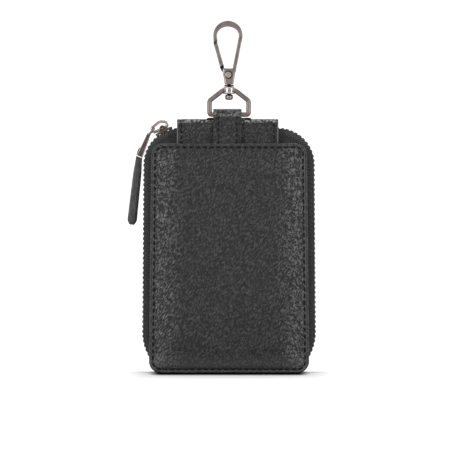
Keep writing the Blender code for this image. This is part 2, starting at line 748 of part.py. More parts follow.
add_boolean(slider, wing, "UNION")
add_boolean(slider, wedge, "UNION")
add_boolean(slider, eye, "UNION")
add_boolean(slider, eye_bore, "DIFFERENCE")

# Bail: a straight side through the slider's eye and a lopsided bow over it
bail_corners = [
    (-BAIL_RIGHT, 0), (-BAIL_RIGHT, BAIL_RIGHT_RISE), (-BAIL_CROWN_RIGHT, BAIL_RISE),
    (BAIL_CROWN_LEFT, BAIL_RISE), (BAIL_LEFT, BAIL_LEFT_RISE), (BAIL_LEFT, 0),
]
bail_path = [eye_spot + tangent * p.x + outward * p.y for p in bent(bail_corners, BAIL_BEND)]
make_object("slider_bail", tube(bail_path, BAIL_STOCK / 2, closed=True, steps=8), GUNMETAL,
            smooth=True, origin=eye_spot)

# Link: stands across the bail's left corner
hang_spot = eye_spot + tangent * BAIL_LEFT + outward * (BAIL_LEFT_RISE / 2)
link_run = Vector((-math.sin(LINK_TURN), 0, -math.cos(LINK_TURN)))
across = Vector((0, 1, 0))
link_top = hang_spot - link_run * (BAIL_STOCK / 2 + LINK_STOCK / 2 + LINK_ROOM)
link_half = CLAMP_THICK / 2 + GAP + LINK_STOCK / 2
link_corners = [(-link_half, 0), (link_half, 0), (link_half, LINK_LENGTH), (-link_half, LINK_LENGTH)]
link_path = [link_top + across * p.x + link_run * p.y for p in bent(link_corners, LINK_BEND)]
make_object("pull_link", tube(link_path, LINK_STOCK / 2, closed=True, steps=8), GUNMETAL,
            smooth=True, origin=hang_spot)

# Clamp, open at its foot for the leather's tongue
clamp_eye = link_top + link_run * LINK_LENGTH
clamp_run = Vector((-math.sin(CLAMP_TURN), -math.cos(CLAMP_TURN)))
eye_2d = Vector((clamp_eye.x, clamp_eye.z))
clamp_start = eye_2d - clamp_run * CLAMP_TOP_HALF
clamp_end = eye_2d + clamp_run * (CLAMP_LENGTH - CLAMP_TOP_HALF)
clamp_outline = stroke([clamp_start, clamp_end], [2 * CLAMP_TOP_HALF, 2 * CLAMP_FOOT_HALF])
clamp = make_object("pull_clamp", prism(clamp_outline, -CLAMP_THICK / 2, CLAMP_THICK / 2),
                    GUNMETAL, origin=clamp_eye)
link_room = LINK_STOCK / 2 + TURN_GAP / 2
tongue_start = eye_2d + clamp_run * (link_room + CLAMP_WALL)
mouth_half = GAP / 2 + PULL_TONGUE + GAP
clamp_slot = make_object("cut_clamp_slot", prism(
    stroke([tongue_start, clamp_end + clamp_run * THROUGH], [3 * PULL_HALF, 3 * PULL_HALF]),
    -mouth_half, mouth_half), GUNMETAL)
clamp_hole = make_object("cut_clamp_hole", disc(eye_2d, link_room, -CLAMP_THICK, CLAMP_THICK),
                         GUNMETAL)
add_boolean(clamp, clamp_slot, "DIFFERENCE")
add_boolean(clamp, clamp_hole, "DIFFERENCE")

# Leather pull: two leaves, each with a thin tail that runs up into the clamp
pull_run = Vector((-math.sin(PULL_TURN), -math.cos(PULL_TURN)))
pull_top = clamp_end + clamp_run * GAP
tail_top = pull_top - pull_run * PULL_TAIL
for name, side in (("pull_leaf_front", -1), ("pull_leaf_back", 1)):
    foot = pull_top + pull_run * (PULL_LENGTH - PULL_TIP)
    tip = pull_top + pull_run * PULL_LENGTH
    leaf_outline = stroke([pull_top, foot, tip], [2 * PULL_HALF, 2 * PULL_HALF, PULL_HALF])
    near = side * GAP / 2
    leaf = make_object(name, prism(leaf_outline, near, near + side * PULL_LEAF), LEATHER,
                       origin=clamp_eye)
    tail = make_object("cut_tail_" + name, prism(
        stroke([tail_top, pull_top + pull_run * JOIN], [PULL_HALF, 2 * PULL_HALF]),
        near, near + side * PULL_TONGUE), LEATHER)
    add_boolean(leaf, tail, "UNION")

# Key rail on the rear lining
rail_back = FLANGE_REAR_Y - GAP
rail_face = rail_back - RAIL_THICK
rail_outline = []
for x_side, z_side, start in ((1, -1, -90), (1, 1, 0), (-1, 1, 90), (-1, -1, 180)):
    rail_outline += arc((x_side * (RAIL_HALF - RAIL_CORNER),
                         RAIL_Z + z_side * (RAIL_HALF_HEIGHT - RAIL_CORNER)),
                        RAIL_CORNER, math.radians(start), math.radians(start + 90), 3)
rail = make_object("key_rail", prism(rail_outline, rail_face, rail_back), STEEL,
                   origin=fold_axis)

hook_back = rail_face - GAP
hook_face = hook_back - KEY_HOOK_THICK
pin_head_back = hook_face - GAP
eyes = []
for number in range(KEY_HOOK_COUNT):
    spot_x = KEY_HOOK_PITCH * (number - (KEY_HOOK_COUNT - 1) / 2)
    eye_at = (spot_x, RAIL_Z)
    eyes.append(eye_at)
    mark = str(number + 1)

    bend_z = RAIL_Z - KEY_SHANK
    path = [(spot_x, RAIL_Z), (spot_x, bend_z)]
    path += arc((spot_x - KEY_BEND, bend_z), KEY_BEND, 0, -math.pi, CORNER_STEPS)[1:]
    path.append((spot_x - 2 * KEY_BEND, bend_z + KEY_TIP))
    hook_piece = make_object("key_hook_" + mark, prism(
        stroke(path, [KEY_STOCK] * len(path)), hook_face, hook_back), STEEL,
        origin=(spot_x, hook_face, RAIL_Z))
    hook_eye = make_object("cut_hook_eye_" + mark, disc(eye_at, KEY_EYE_RADIUS, hook_face,
                                                        hook_back), STEEL)
    eye_hole = make_object("cut_eye_hole_" + mark, disc(
        eye_at, KEY_PIN_RADIUS + TURN_GAP, hook_face - THROUGH, hook_back + THROUGH), STEEL)
    add_boolean(hook_piece, hook_eye, "UNION")
    add_boolean(hook_piece, eye_hole, "DIFFERENCE")

    # The tongue springs between the shank and the hook's tip
    root = (spot_x - KEY_STOCK / 2 - GAP - TONGUE_STOCK / 2, RAIL_Z - KEY_EYE_RADIUS - 2 * GAP)
    tip = (spot_x - 2 * KEY_BEND + KEY_STOCK / 2 + GAP + TONGUE_STOCK / 2,
           bend_z + KEY_TIP - 2 * GAP)
    make_object("key_tongue_" + mark, prism(
        stroke([root, tip], [TONGUE_STOCK, TONGUE_STOCK]), hook_face, hook_back), STEEL,
        origin=(root[0], hook_face, root[1]))

# Headed pins of the key hooks
pin_steps = [
    (KEY_PIN_HEAD_RADIUS, pin_head_back - KEY_PIN_HEAD), (KEY_PIN_HEAD_RADIUS, pin_head_back),
    (KEY_PIN_RADIUS, pin_head_back), (KEY_PIN_RADIUS, rail_back),
]
for number, spot in enumerate(eyes):
    make_object("key_pin_%d" % (number + 1), pin(spot, pin_steps), STEEL, smooth=True,
                origin=fold_axis)

# Rivets through the rail and the lining
rivet_spots = [(-RAIL_RIVET_X, RAIL_Z), (RAIL_RIVET_X, RAIL_Z)]
rail_rivet_head = rail_face - GAP
rail_rivet_steps = [
    (RIVET_HEAD_RADIUS, rail_rivet_head - RIVET_HEAD), (RIVET_HEAD_RADIUS, rail_rivet_head),
    (RIVET_RADIUS, rail_rivet_head), (RIVET_RADIUS, FLANGE_REAR_Y + LINING),
]
for number, spot in enumerate(rivet_spots):
    make_object("rail_rivet_%d" % (number + 1), pin(spot, rail_rivet_steps), STEEL, smooth=True,
                origin=fold_axis)

# Room for both kinds of shank
holes = [(spot, KEY_PIN_RADIUS) for spot in eyes] + [(spot, RIVET_RADIUS) for spot in rivet_spots]
for number, (spot, radius) in enumerate(holes):
    room = make_object("cut_shank_room_%d" % number, disc(
        spot, radius + GAP, rail_face - THROUGH, FLANGE_REAR_Y + THROUGH), STEEL)
    add_boolean(rail, room, "DIFFERENCE")
    if radius == RIVET_RADIUS:
        add_boolean(lining, room, "DIFFERENCE")
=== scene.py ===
import math

import bmesh
import bpy
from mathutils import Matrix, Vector, noise


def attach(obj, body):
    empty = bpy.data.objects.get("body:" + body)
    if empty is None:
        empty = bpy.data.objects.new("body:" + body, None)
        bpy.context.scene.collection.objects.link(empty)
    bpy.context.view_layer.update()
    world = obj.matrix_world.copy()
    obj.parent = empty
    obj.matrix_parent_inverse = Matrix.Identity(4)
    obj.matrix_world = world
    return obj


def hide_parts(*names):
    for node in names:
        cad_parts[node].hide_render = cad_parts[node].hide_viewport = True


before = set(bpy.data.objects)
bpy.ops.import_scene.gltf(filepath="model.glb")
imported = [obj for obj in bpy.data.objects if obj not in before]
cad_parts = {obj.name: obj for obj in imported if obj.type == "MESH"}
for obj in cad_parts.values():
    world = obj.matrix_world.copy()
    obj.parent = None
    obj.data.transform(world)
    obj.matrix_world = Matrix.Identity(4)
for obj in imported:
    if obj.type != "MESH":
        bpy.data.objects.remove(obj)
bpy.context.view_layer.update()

# Table and light
# A pale table carries the case, with a contact shadow painted into its colour
# under it. It ends just behind the case, over a lower floor that bends up into the
# backdrop, so that the rear half can fold down. Soft lamps stand round it, and the
# camera looks level.

SHADE_HALF, SHADE_DEEP, SHADE_RISE, SIDE_SHARE = 0.0285, 0.0105, 0.0005, 2.4
SHADE_START, SHADE_END, SHADE_DARK, SHADE_PALE = 0.003, 0.0165, 0.01, 0.88
GLOW_START, GLOW_END, GLOW = 0.004, 0.07, 0.6
TABLE_NEAR, TABLE_EDGE, TABLE_HALF, TABLE_SINK = -1.6, 0.0118, 2.4, 0.0002
TABLE_HIGH, FLOOR_END, ROOM_BEND, ROOM_TOP = 0.16, 0.5, 0.9, 2.2
ROOM_LEVEL, ROOM_STEPS = 0.3, 12
table_points = [(TABLE_NEAR, 0.0), (TABLE_EDGE, 0.0), (TABLE_EDGE, -TABLE_HIGH),
                (FLOOR_END, -TABLE_HIGH)]
for i in range(1, ROOM_STEPS + 1):
    turn = i / ROOM_STEPS * math.pi / 2
    table_points.append((FLOOR_END + ROOM_BEND * math.sin(turn),
                         ROOM_BEND * (1 - math.cos(turn)) - TABLE_HIGH))
table_points.append((FLOOR_END + ROOM_BEND, ROOM_TOP))
table_mesh = bpy.data.meshes.new("table")
table_mesh.from_pydata(
    [(x, depth, height - TABLE_SINK) for depth, height in table_points
     for x in (-TABLE_HALF, TABLE_HALF)], [],
    [(2 * i, 2 * i + 1, 2 * i + 3, 2 * i + 2) for i in range(len(table_points) - 1)])
for face in table_mesh.polygons:
    face.use_smooth = face.center.y > FLOOR_END
table = bpy.data.objects.new("table", table_mesh)
bpy.context.collection.objects.link(table)


def add_node(tree, kind, inputs, **settings):
    """A shader node, each input linked to a socket or set to a value."""
    item = tree.nodes.new("ShaderNode" + kind)
    for name, value in settings.items():
        setattr(item, name, value)
    for name, value in inputs.items():
        socket = item.inputs[name]
        if isinstance(value, bpy.types.NodeSocket):
            tree.links.new(value, socket)
        else:
            socket.default_value = value
    return item


def maths(tree, operation, *values):
    return add_node(tree, "Math", dict(enumerate(values)), operation=operation).outputs[0]


def vector_maths(tree, operation, *values):
    return add_node(tree, "VectorMath", dict(enumerate(values)), operation=operation).outputs[0]


def ranged(tree, value, low, high, start=0.0, end=1.0, ease="LINEAR"):
    """A value that runs from low to high, turned into one from start to end."""
    return add_node(tree, "MapRange", {"Value": value, "From Min": low, "From Max": high,
                                       "To Min": start, "To Max": end},
                    interpolation_type=ease).outputs[0]


def seen_light(tree):
    """One where the camera, a gloss or a clear piece looks, nought for plain light."""
    path = add_node(tree, "LightPath", {}).outputs
    glossy = maths(tree, "MAXIMUM", path["Is Camera Ray"], path["Is Glossy Ray"])
    return maths(tree, "MAXIMUM", glossy, path["Is Transmission Ray"])


def new_finish(name):
    finish = bpy.data.materials.new(name)
    finish.use_nodes = True
    return finish, finish.node_tree, finish.node_tree.nodes["Principled BSDF"]


table_finish, tree, paper = new_finish("table_paper")
paper.inputs["Roughness"].default_value = 0.9
paper.inputs["Specular IOR Level"].default_value = 0.0
# Painted contact shadow: the table's colour darkens round the case's footprint, and its glow for the
# camera fades out there.
where = add_node(tree, "NewGeometry", {}).outputs["Position"]
beyond = vector_maths(tree, "SUBTRACT", vector_maths(tree, "ABSOLUTE", where),
                      (SHADE_HALF, SHADE_DEEP, SHADE_RISE))
beyond = vector_maths(tree, "MAXIMUM", beyond, (0.0, 0.0, 0.0))
beyond = vector_maths(tree, "MULTIPLY", beyond, (SIDE_SHARE, 1.0, SIDE_SHARE))
away = add_node(tree, "VectorMath", {0: beyond}, operation="LENGTH").outputs["Value"]
shade = ranged(tree, away, SHADE_START, SHADE_END, SHADE_DARK, SHADE_PALE, ease="SMOOTHSTEP")
tree.links.new(add_node(tree, "CombineXYZ", {0: shade, 1: shade, 2: shade}).outputs[0],
               paper.inputs["Base Color"])
open_table = ranged(tree, away, GLOW_START, GLOW_END, end=GLOW)
tree.links.new(maths(tree, "MULTIPLY", seen_light(tree), open_table),
               paper.inputs["Emission Strength"])
paper.inputs["Emission Color"].default_value = (1, 1, 1, 1)
table_mesh.materials.append(table_finish)

world = bpy.data.worlds.new("room")
bpy.context.scene.world = world
world.use_nodes = True
tree = world.node_tree
room = tree.nodes["Background"]
room.inputs["Color"].default_value = (1, 1, 1, 1)
tree.links.new(ranged(tree, seen_light(tree), 0.0, 1.0, ROOM_LEVEL, 1.0), room.inputs["Strength"])

for name, place, size, power, aim in (
        ("lamp_left", (-0.60, -0.66, 0.2), (0.1, 0.5), 4.0, (0, 0, 0.05)),
        ("lamp_right", (0.66, -0.56, 0.2), (0.1, 0.5), 3.4, (0, 0, 0.05)),
        ("lamp_top", (0.0, -0.25, 0.95), (0.8, 0.4), 2.6, (0, 0, 0.07)),
        ("lamp_back", (0.0, 0.6, 0.9), (0.9, 0.4), 3.0, (0, 0, 0.08))):
    lamp = bpy.data.lights.new(name, "AREA")
    lamp.shape = "RECTANGLE"
    lamp.size, lamp.size_y = size
    lamp.energy = power
    lamp_piece = bpy.data.objects.new(name, lamp)
    lamp_piece.location = place
    lamp_piece.rotation_euler = (Vector(aim) - Vector(place)).to_track_quat("-Z", "Y").to_euler()
    bpy.context.collection.objects.link(lamp_piece)

camera = bpy.data.cameras.new("camera")
camera.sensor_width = 36
camera.lens = 218.6
camera_piece = bpy.data.objects.new("camera", camera)
camera_piece.location = (0.0004, -1.2, 0.0611)
camera_piece.rotation_euler = (math.radians(90), 0, 0)
bpy.context.collection.objects.link(camera_piece)
bpy.context.scene.camera = camera_piece
bpy.context.scene.view_settings.view_transform = "Standard"

# Leather faces
# Front and rear face: charcoal pebbled cowhide drawn over a soft pad, its edge
# turned in, and a groove pressed round it for the stitches. Sizes from here on
# are in millimetres.

MM = 0.001
FACE_HEIGHT, FACE_TOP_HALF, FACE_FOOT_HALF, FACE_CORNER = 98.1, 33.3, 34.2, 5.1
FACE_BACK, CORNER_LEAST, FACE_SWELL, REAR_SHIFT = 7.2, 0.9, 0.11, 7.7
FACE_PROFILE = (
    (0.0, 0.0), (0.0, 0.75), (0.05, 1.0), (0.2, 1.2), (0.4, 1.31), (0.65, 1.34), (0.95, 1.33),
    (1.2, 1.28), (1.42, 1.1), (1.7, 0.98), (1.98, 1.12), (2.2, 1.38), (2.6, 1.62), (3.1, 1.82),
    (3.8, 2.04), (4.6, 2.29), (5.6, 2.58), (6.8, 2.87), (8.2, 3.1), (9.8, 3.27), (11.6, 3.38),
    (13.4, 3.44), (16.0, 3.47), (20.0, 3.49), (25.0, 3.5), (29.5, 3.5))
FACE_ARC_STEPS = 14
EDGE_ROWS, GROOVE_ROWS = range(0, 5), range(6, 10)
STITCH_IN = 1.7


def round_arc(middle, radius, start, end, steps):
    turns = [start + (end - start) * i / steps for i in range(steps + 1)]
    return [Vector((middle[0] + radius * math.cos(t), middle[1] + radius * math.sin(t)))
            for t in turns]


def stood(spot, depth):
    """A flat point stood up in space at a depth."""
    return Vector((spot.x, depth, spot.y))


def face_line(inset, step=1.0):
    """The face's outline, its corners round, drawn in by the inset."""
    corner = max(FACE_CORNER - inset, CORNER_LEAST)
    foot, top = FACE_FOOT_HALF - inset - corner, FACE_TOP_HALF - inset - corner
    low, high = inset + corner, FACE_HEIGHT - inset - corner
    corners = [((foot, low), -0.5), ((top, high), 0.0), ((-top, high), 0.5), ((-foot, low), 1.0)]
    counts = [round((FACE_HEIGHT - 2 * FACE_CORNER) / step),
              round((2 * FACE_TOP_HALF - 2 * FACE_CORNER) / step)] * 2
    line = []
    for k, (middle, turn) in enumerate(corners):
        bend = round_arc(middle, corner, turn * math.pi, (turn + 0.5) * math.pi, FACE_ARC_STEPS)
        next_middle, next_turn = corners[(k + 1) % 4]
        end = Vector((next_middle[0] + corner * math.cos(next_turn * math.pi),
                      next_middle[1] + corner * math.sin(next_turn * math.pi)))
        line += bend + [bend[-1].lerp(end, i / counts[k]) for i in range(1, counts[k])]
    return line


def ring_skin(rings, closed=False):
    """Points and faces of a skin over rings of equal length, its ends capped unless closed."""
    size = len(rings[0])
    points = [p for ring in rings for p in ring]
    faces = []
    for i in range(len(rings) if closed else len(rings) - 1):
        here, there = i * size, ((i + 1) % len(rings)) * size
        for k in range(size):
            after = (k + 1) % size
            faces.append((here + k, here + after, there + after, there + k))
    if not closed:
        faces.append(tuple(range(size))[::-1])
        faces.append(tuple(range((len(rings) - 1) * size, len(rings) * size)))
    return points, faces


def join_shapes(shapes):
    """Several (points, faces) as one."""
    points, faces = [], []
    for more_points, more_faces in shapes:
        start = len(points)
        points += more_points
        faces += [tuple(start + i for i in face) for face in more_faces]
    return points, faces


def make_piece(name, shape, finishes, body, smooth=50):
    """A piece from (points, faces) that rides on a body, smooth below an angle."""
    points, faces = shape
    mesh = bpy.data.meshes.new(name)
    mesh.from_pydata([tuple(c * MM for c in p) for p in points], [], faces)
    work = bmesh.new()
    work.from_mesh(mesh)
    bmesh.ops.recalc_face_normals(work, faces=work.faces)
    work.to_mesh(mesh)
    work.free()
    for face in mesh.polygons:
        face.use_smooth = True
    mesh.set_sharp_from_angle(angle=math.radians(smooth))
    for finish in finishes if isinstance(finishes, list) else [finishes]:
        mesh.materials.append(finish)
    piece = bpy.data.objects.new(name, mesh)
    bpy.context.collection.objects.link(piece)
    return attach(piece, body)


def paint_faces(piece, index, chosen):
    """Gives the chosen faces of a piece one of its other finishes."""
    for face in piece.data.polygons:
        if chosen(face):
            face.material_index = index


def own_place(tree):
    return add_node(tree, "TexCoord", {}).outputs["Object"]


def speckle(tree, where, scale, detail, rough=0.5):
    return add_node(tree, "TexNoise", {"Vector": where, "Scale": scale, "Detail": detail,
                                       "Roughness": rough}).outputs["Fac"]


def layered(tree, height, *layers):
    """A height with (field, share) layers added on."""
    for field, share in layers:
        height = maths(tree, "MULTIPLY_ADD", field, share, height)
    return height


def two_tone(tree, value, low, dark, high, light):
    """Dark below low, light above high and a blend between."""
    ramp = add_node(tree, "ValToRGB", {"Fac": value})
    for stop, position, tone in zip(ramp.color_ramp.elements, (low, high), (dark, light)):
        stop.position = position
        stop.color = (*tone, 1)
    return ramp.outputs["Color"]


def blend(tree, share, colour, tone, kind="MIX"):
    return add_node(tree, "MixRGB", {"Fac": share, "Color1": colour, "Color2": (*tone, 1)},
                    blend_type=kind).outputs[0]


def dress(tree, skin, colour, rough, height, strength, distance):
    """Feeds colour, roughness and relief into a skin."""
    tree.links.new(colour, skin.inputs["Base Color"])
    if isinstance(rough, float):
        skin.inputs["Roughness"].default_value = rough
    else:
        tree.links.new(rough, skin.inputs["Roughness"])
    relief = add_node(tree, "Bump", {"Height": height, "Strength": strength, "Distance": distance})
    tree.links.new(relief.outputs[0], skin.inputs["Normal"])


def pebbled_leather(name, dark, light, grain=1000, depth=0.00026, rough=(0.3, 0.52),
                    slant=0.55, stretch=2.6, painted_fold_highlight=None, bands=None):
    """Milled hide: creases round slanting grains, small pebbles between them, and pores.

    painted_fold_highlight gives the height, half width and tone of a highlight painted
    along a fold, broken up by cracks in the grain. bands gives where the grain turns on
    the right side, and where highlights painted on the side slopes start and end; the
    foot is painted lighter too, against the shade under it.
    """
    finish, tree, skin = new_finish(name)
    where = own_place(tree)
    drift = add_node(tree, "TexNoise", {"Vector": where, "Scale": 420.0, "Detail": 2.0})
    pulled = vector_maths(tree, "MULTIPLY_ADD", drift.outputs["Color"], (0.0016,) * 3, where)

    def drawn_out(turn):
        return add_node(tree, "Mapping", {"Vector": pulled, "Rotation": (0, turn, 0),
                                          "Scale": (1.0, 1.0, stretch)},
                        vector_type="TEXTURE").outputs[0]

    def seams(vector, scale, reach):
        edge = add_node(tree, "TexVoronoi", {"Vector": vector, "Scale": scale, "Randomness": 1.0},
                        feature="DISTANCE_TO_EDGE").outputs["Distance"]
        return ranged(tree, edge, 0.0, reach, ease="SMOOTHSTEP")

    drawn = drawn_out(slant)
    strokes = speckle(tree, drawn, grain * 1.9, 1.0)
    parts = add_node(tree, "SeparateXYZ", {"Vector": where}).outputs
    if bands:
        side_start, side_full, side_fade, side_end = (b * MM for b in bands)
        crossed = speckle(tree, drawn_out(-1.5 * slant), grain * 1.7, 1.0)
        right = ranged(tree, parts["X"], side_start, side_full)
        strokes = add_node(tree, "Mix", {"Factor": right, "A": strokes, "B": crossed}).outputs[0]
    strokes = ranged(tree, strokes, 0.36, 0.66, ease="SMOOTHSTEP")
    height = layered(tree, 0.0, (seams(drawn, grain, 0.28), 0.3), (strokes, 0.42),
                     (seams(pulled, grain * 1.5, 0.35), 0.2),
                     (speckle(tree, where, 5200.0, 2.0, 0.6), 0.12))
    colour = two_tone(tree, height, 0.37, dark, 0.8, light)
    # Painted highlight along the fold, broken up by the cracked grain.
    if painted_fold_highlight:
        middle, half, tone = painted_fold_highlight
        away = maths(tree, "ABSOLUTE", maths(tree, "SUBTRACT", parts["Z"], middle * MM))
        painted_highlight = ranged(tree, away, half * 0.6 * MM, half * MM, 1.0, 0.0)
        cracks = ranged(tree, speckle(tree, where, 980.0, 3.0), 0.44, 0.6)
        colour = blend(tree, maths(tree, "MULTIPLY", painted_highlight, cracks), colour, tone)
    # Painted highlights on the grain tops of the side slopes, where light catches the pad.
    if bands:
        spread = layered(tree, maths(tree, "ABSOLUTE", parts["X"]), (parts["Z"], 0.0092))
        painted_highlight = maths(tree, "MULTIPLY", ranged(tree, spread, side_start, side_full),
                    ranged(tree, spread, side_fade, side_end, 1.0, 0.0))
        painted_highlight = maths(tree, "MULTIPLY", painted_highlight, ranged(tree, height, 0.42, 0.74))
        colour = blend(tree, painted_highlight, colour, [c * 2.3 for c in light])
        # Painted light: the hide is lightened towards the foot, against the shade under the case.
        low = ranged(tree, parts["Z"], 0.0025, 0.0098, 1.0, 0.0, ease="SMOOTHSTEP")
        colour = blend(tree, low, colour, light, kind="ADD")
    dress(tree, skin, colour, ranged(tree, height, 0.0, 1.0, rough[1], rough[0]), height, 1.0, depth)
    skin.inputs["Specular IOR Level"].default_value = 0.26
    return finish


def edge_paint(name, tone, shine=0.5):
    """A smooth coat with a faint wave: edge paint where the brush ran, and also painted shade in the
    face's groove and a painted shadow on the tab's fold.
    """
    finish, tree, coat = new_finish(name)
    wave = speckle(tree, own_place(tree), 900.0, 3.0)
    colour = two_tone(tree, wave, 0.3, [c * 0.7 for c in tone], 0.7, tone)
    dress(tree, coat, colour, ranged(tree, wave, 0.0, 1.0, 0.35, 0.55), wave, 0.4, 0.00006)
    coat.inputs["Specular IOR Level"].default_value = shine
    return finish


def face_depth(inset):
    """How far the face stands out from its back at an inset."""
    for (a, low), (b, high) in zip(FACE_PROFILE[1:], FACE_PROFILE[2:]):
        if inset <= b:
            return low + (high - low) * max(inset - a, 0) / (b - a)
    return FACE_PROFILE[-1][1]


def swell(x, z, inset):
    """The slight unevenness of hide over a pad."""
    fade = min(max((inset - 3.0) / 6.0, 0), 1) * min(max((29.0 - inset) / 8.0, 0), 1)
    return fade * FACE_SWELL * noise.noise(Vector((x * 0.07, z * 0.055, 3.1)))


# The face hide carries painted highlights on its side slopes and a painted lighter foot.
face_leather = pebbled_leather("face_leather", (0.001, 0.001, 0.0011), (0.046, 0.046, 0.0464),
                               bands=(20.0, 28.0, 32.2, 32.8))
# The turned edge is set lighter than the face, a painted highlight along its rounded edge.
turned_edge = pebbled_leather("turned_edge", (0.006, 0.006, 0.0062), (0.085, 0.084, 0.084),
                              grain=1500, depth=0.00012)
# Painted shade: the pressed groove is coloured near black.
painted_groove_shade = edge_paint("painted_groove_shade", (0.006, 0.006, 0.006))
for half, side, shift in (("front", -1, 0.0), ("rear", 1, REAR_SHIFT)):
    rings = [[stood(p, side * (FACE_BACK + depth + swell(p.x + shift, p.y, inset)))
              for p in face_line(inset)] for inset, depth in FACE_PROFILE]
    face = make_piece(half + "_face", ring_skin(rings),
                      [face_leather, turned_edge, painted_groove_shade], "case_" + half, smooth=70)
    paint_faces(face, 1, lambda part: part.index // len(rings[0]) in EDGE_ROWS)
    paint_faces(face, 2, lambda part: part.index // len(rings[0]) in GROOVE_ROWS)
    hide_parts(half + "_panel")

# Face stitching
# Waxed black thread, sewn by machine along the groove. Each stitch dives into
# the leather at both ends.

STITCH_PITCH, STITCH_LENGTH, THREAD_HALF = 2.9, 2.35, 0.3
black_thread, tree, thread = new_finish("black_thread")
strands = add_node(tree, "TexWave", {"Vector": own_place(tree), "Scale": 2600.0,
                                     "Distortion": 2.0, "Detail": 1.0},
                   bands_direction="DIAGONAL").outputs["Fac"]
dress(tree, thread, two_tone(tree, strands, 0.0, (0.001,) * 3, 1.0, (0.01, 0.01, 0.0105)),
      ranged(tree, strands, 0.0, 1.0, 0.55, 0.75), strands, 0.6, 0.00005)
thread.inputs["Specular IOR Level"].default_value = 0.12


def spaced(line, pitch, closed=True):
    """Points and directions at equal steps along a line of flat points."""
    spots = line + [line[0]] if closed else list(line)
    lengths = [(b - a).length for a, b in zip(spots, spots[1:])]
    total = sum(lengths)
    count = max(round(total / pitch), 1)
    found, index, passed = [], 0, 0.0
    for i in range(count):
        goal = total * (i + 0.5) / count
        while passed + lengths[index] < goal:
            passed += lengths[index]
            index += 1
        run = (spots[index + 1] - spots[index]) / lengths[index]
        found.append((spots[index] + run * (goal - passed), run))
    return found


def turns(count, start=0.0):
    """Equal turns round a circle, the first one a share of a step in."""
    return [math.tau * (k + start) / count for k in range(count)]


def thread_stitch(middle, run, out, length, half, sink=0.35):
    """One stitch: a short round thread, bowed out and dipping in at both ends."""
    across = run.cross(out).normalized()
    rings = []
    for k in range(9):
        share = k / 8 - 0.5
        rise = half * 0.75 - (2 * abs(share)) ** 4 * (sink + half)
        width = half * (1 - 0.35 * (2 * abs(share)) ** 6)
        centre = middle + run * (length * share) + out * rise
        rings.append([centre + across * (width * math.cos(t)) + out * (width * math.sin(t))
                      for t in turns(8)])
    return ring_skin(rings)


for half, side in (("front", -1), ("rear", 1)):
    surface = side * (FACE_BACK + face_depth(STITCH_IN))
    stitches = [thread_stitch(stood(spot, surface), stood(run, 0), Vector((0, side, 0)),
                              STITCH_LENGTH, THREAD_HALF)
                for spot, run in spaced(face_line(STITCH_IN), STITCH_PITCH)]
    sewn = make_piece(half + "_face_stitches", join_shapes(stitches), black_thread,
                      "case_" + half)

# Frame and foot
# Behind the front face a leather-covered board, notched at the top for the
# hanging tab. A plain strip of the same hide joins the halves at the foot.

FRAME_IN, FRAME_FRONT, FRAME_BACK, FRAME_ROUND = 1.2, -6.9, -3.22, 0.45
NOTCH_LEFT, NOTCH_RIGHT, NOTCH_FOOT, NOTCH_REACH = -22.6, 21.4, 85.2, 90.0
FOOT_HALF, FOOT_DEEP, FOOT_RISE, FOOT_STEPS = 30.5, 6.9, 0.5, 40
# Plain leather is set lighter than the faces' hide, painted light that lifts the foot fold out of the
# shade under the case.
plain_leather = pebbled_leather("plain_leather", (0.012, 0.012, 0.0124), (0.06, 0.06, 0.061),
                                grain=1100, depth=0.0002)


def settle(piece, change):
    """Makes the change that a modifier gives part of the piece's mesh."""
    bpy.context.view_layer.update()
    done = bpy.data.meshes.new_from_object(
        piece.evaluated_get(bpy.context.evaluated_depsgraph_get()))
    piece.modifiers.remove(change)
    piece.data = done


def soft_edges(piece, width, segments=3):
    """Rounds every sharp edge of a piece."""
    rounding = piece.modifiers.new("rounded", "BEVEL")
    rounding.width = width * MM
    rounding.segments = segments
    rounding.limit_method = "ANGLE"
    rounding.angle_limit = math.radians(35)
    rounding.use_clamp_overlap = True
    settle(piece, rounding)


def squared(value, power):
    """A sine or cosine drawn out towards a square, the more so the lower the power."""
    return math.copysign(abs(value) ** power, value)


frame_line = face_line(FRAME_IN, step=4.0)
frame_top = FACE_HEIGHT - FRAME_IN
notch_line = []
for i, p in enumerate(frame_line):
    after = frame_line[(i + 1) % len(frame_line)]
    if not (p.y > NOTCH_REACH and NOTCH_LEFT < p.x < NOTCH_RIGHT):
        notch_line.append(p)
    if min(p.y, after.y) > NOTCH_REACH and p.x >= NOTCH_RIGHT > after.x:
        notch_line += [Vector((NOTCH_RIGHT, frame_top)), Vector((NOTCH_RIGHT, NOTCH_FOOT)),
                       Vector((NOTCH_LEFT, NOTCH_FOOT)), Vector((NOTCH_LEFT, frame_top))]
face_frame = make_piece("face_frame", ring_skin(
    [[stood(p, y) for p in notch_line] for y in (FRAME_FRONT, FRAME_BACK)]), plain_leather,
    "case_front")
soft_edges(face_frame, FRAME_ROUND)
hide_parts("front_frame")

foot_rings = []
for i in range(FOOT_STEPS + 1):
    x = -FOOT_HALF + 2 * FOOT_HALF * i / FOOT_STEPS
    ends = min(1.0, (FOOT_HALF - abs(x)) / 0.5 + 0.55)
    foot_rings.append([
        Vector((x, FOOT_DEEP * squared(math.cos(t), 0.35) * (0.96 + 0.04 * ends),
                FOOT_RISE + FOOT_RISE * squared(math.sin(t), 0.5) * ends)) for t in turns(40)])
foot_fold = make_piece("foot_fold", ring_skin(foot_rings), plain_leather, "case_front")
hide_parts("bottom_spine")

# Linings
# Twilled black cloth, cut inside the tape's edge and glued flat, with a
# turned hem all round.

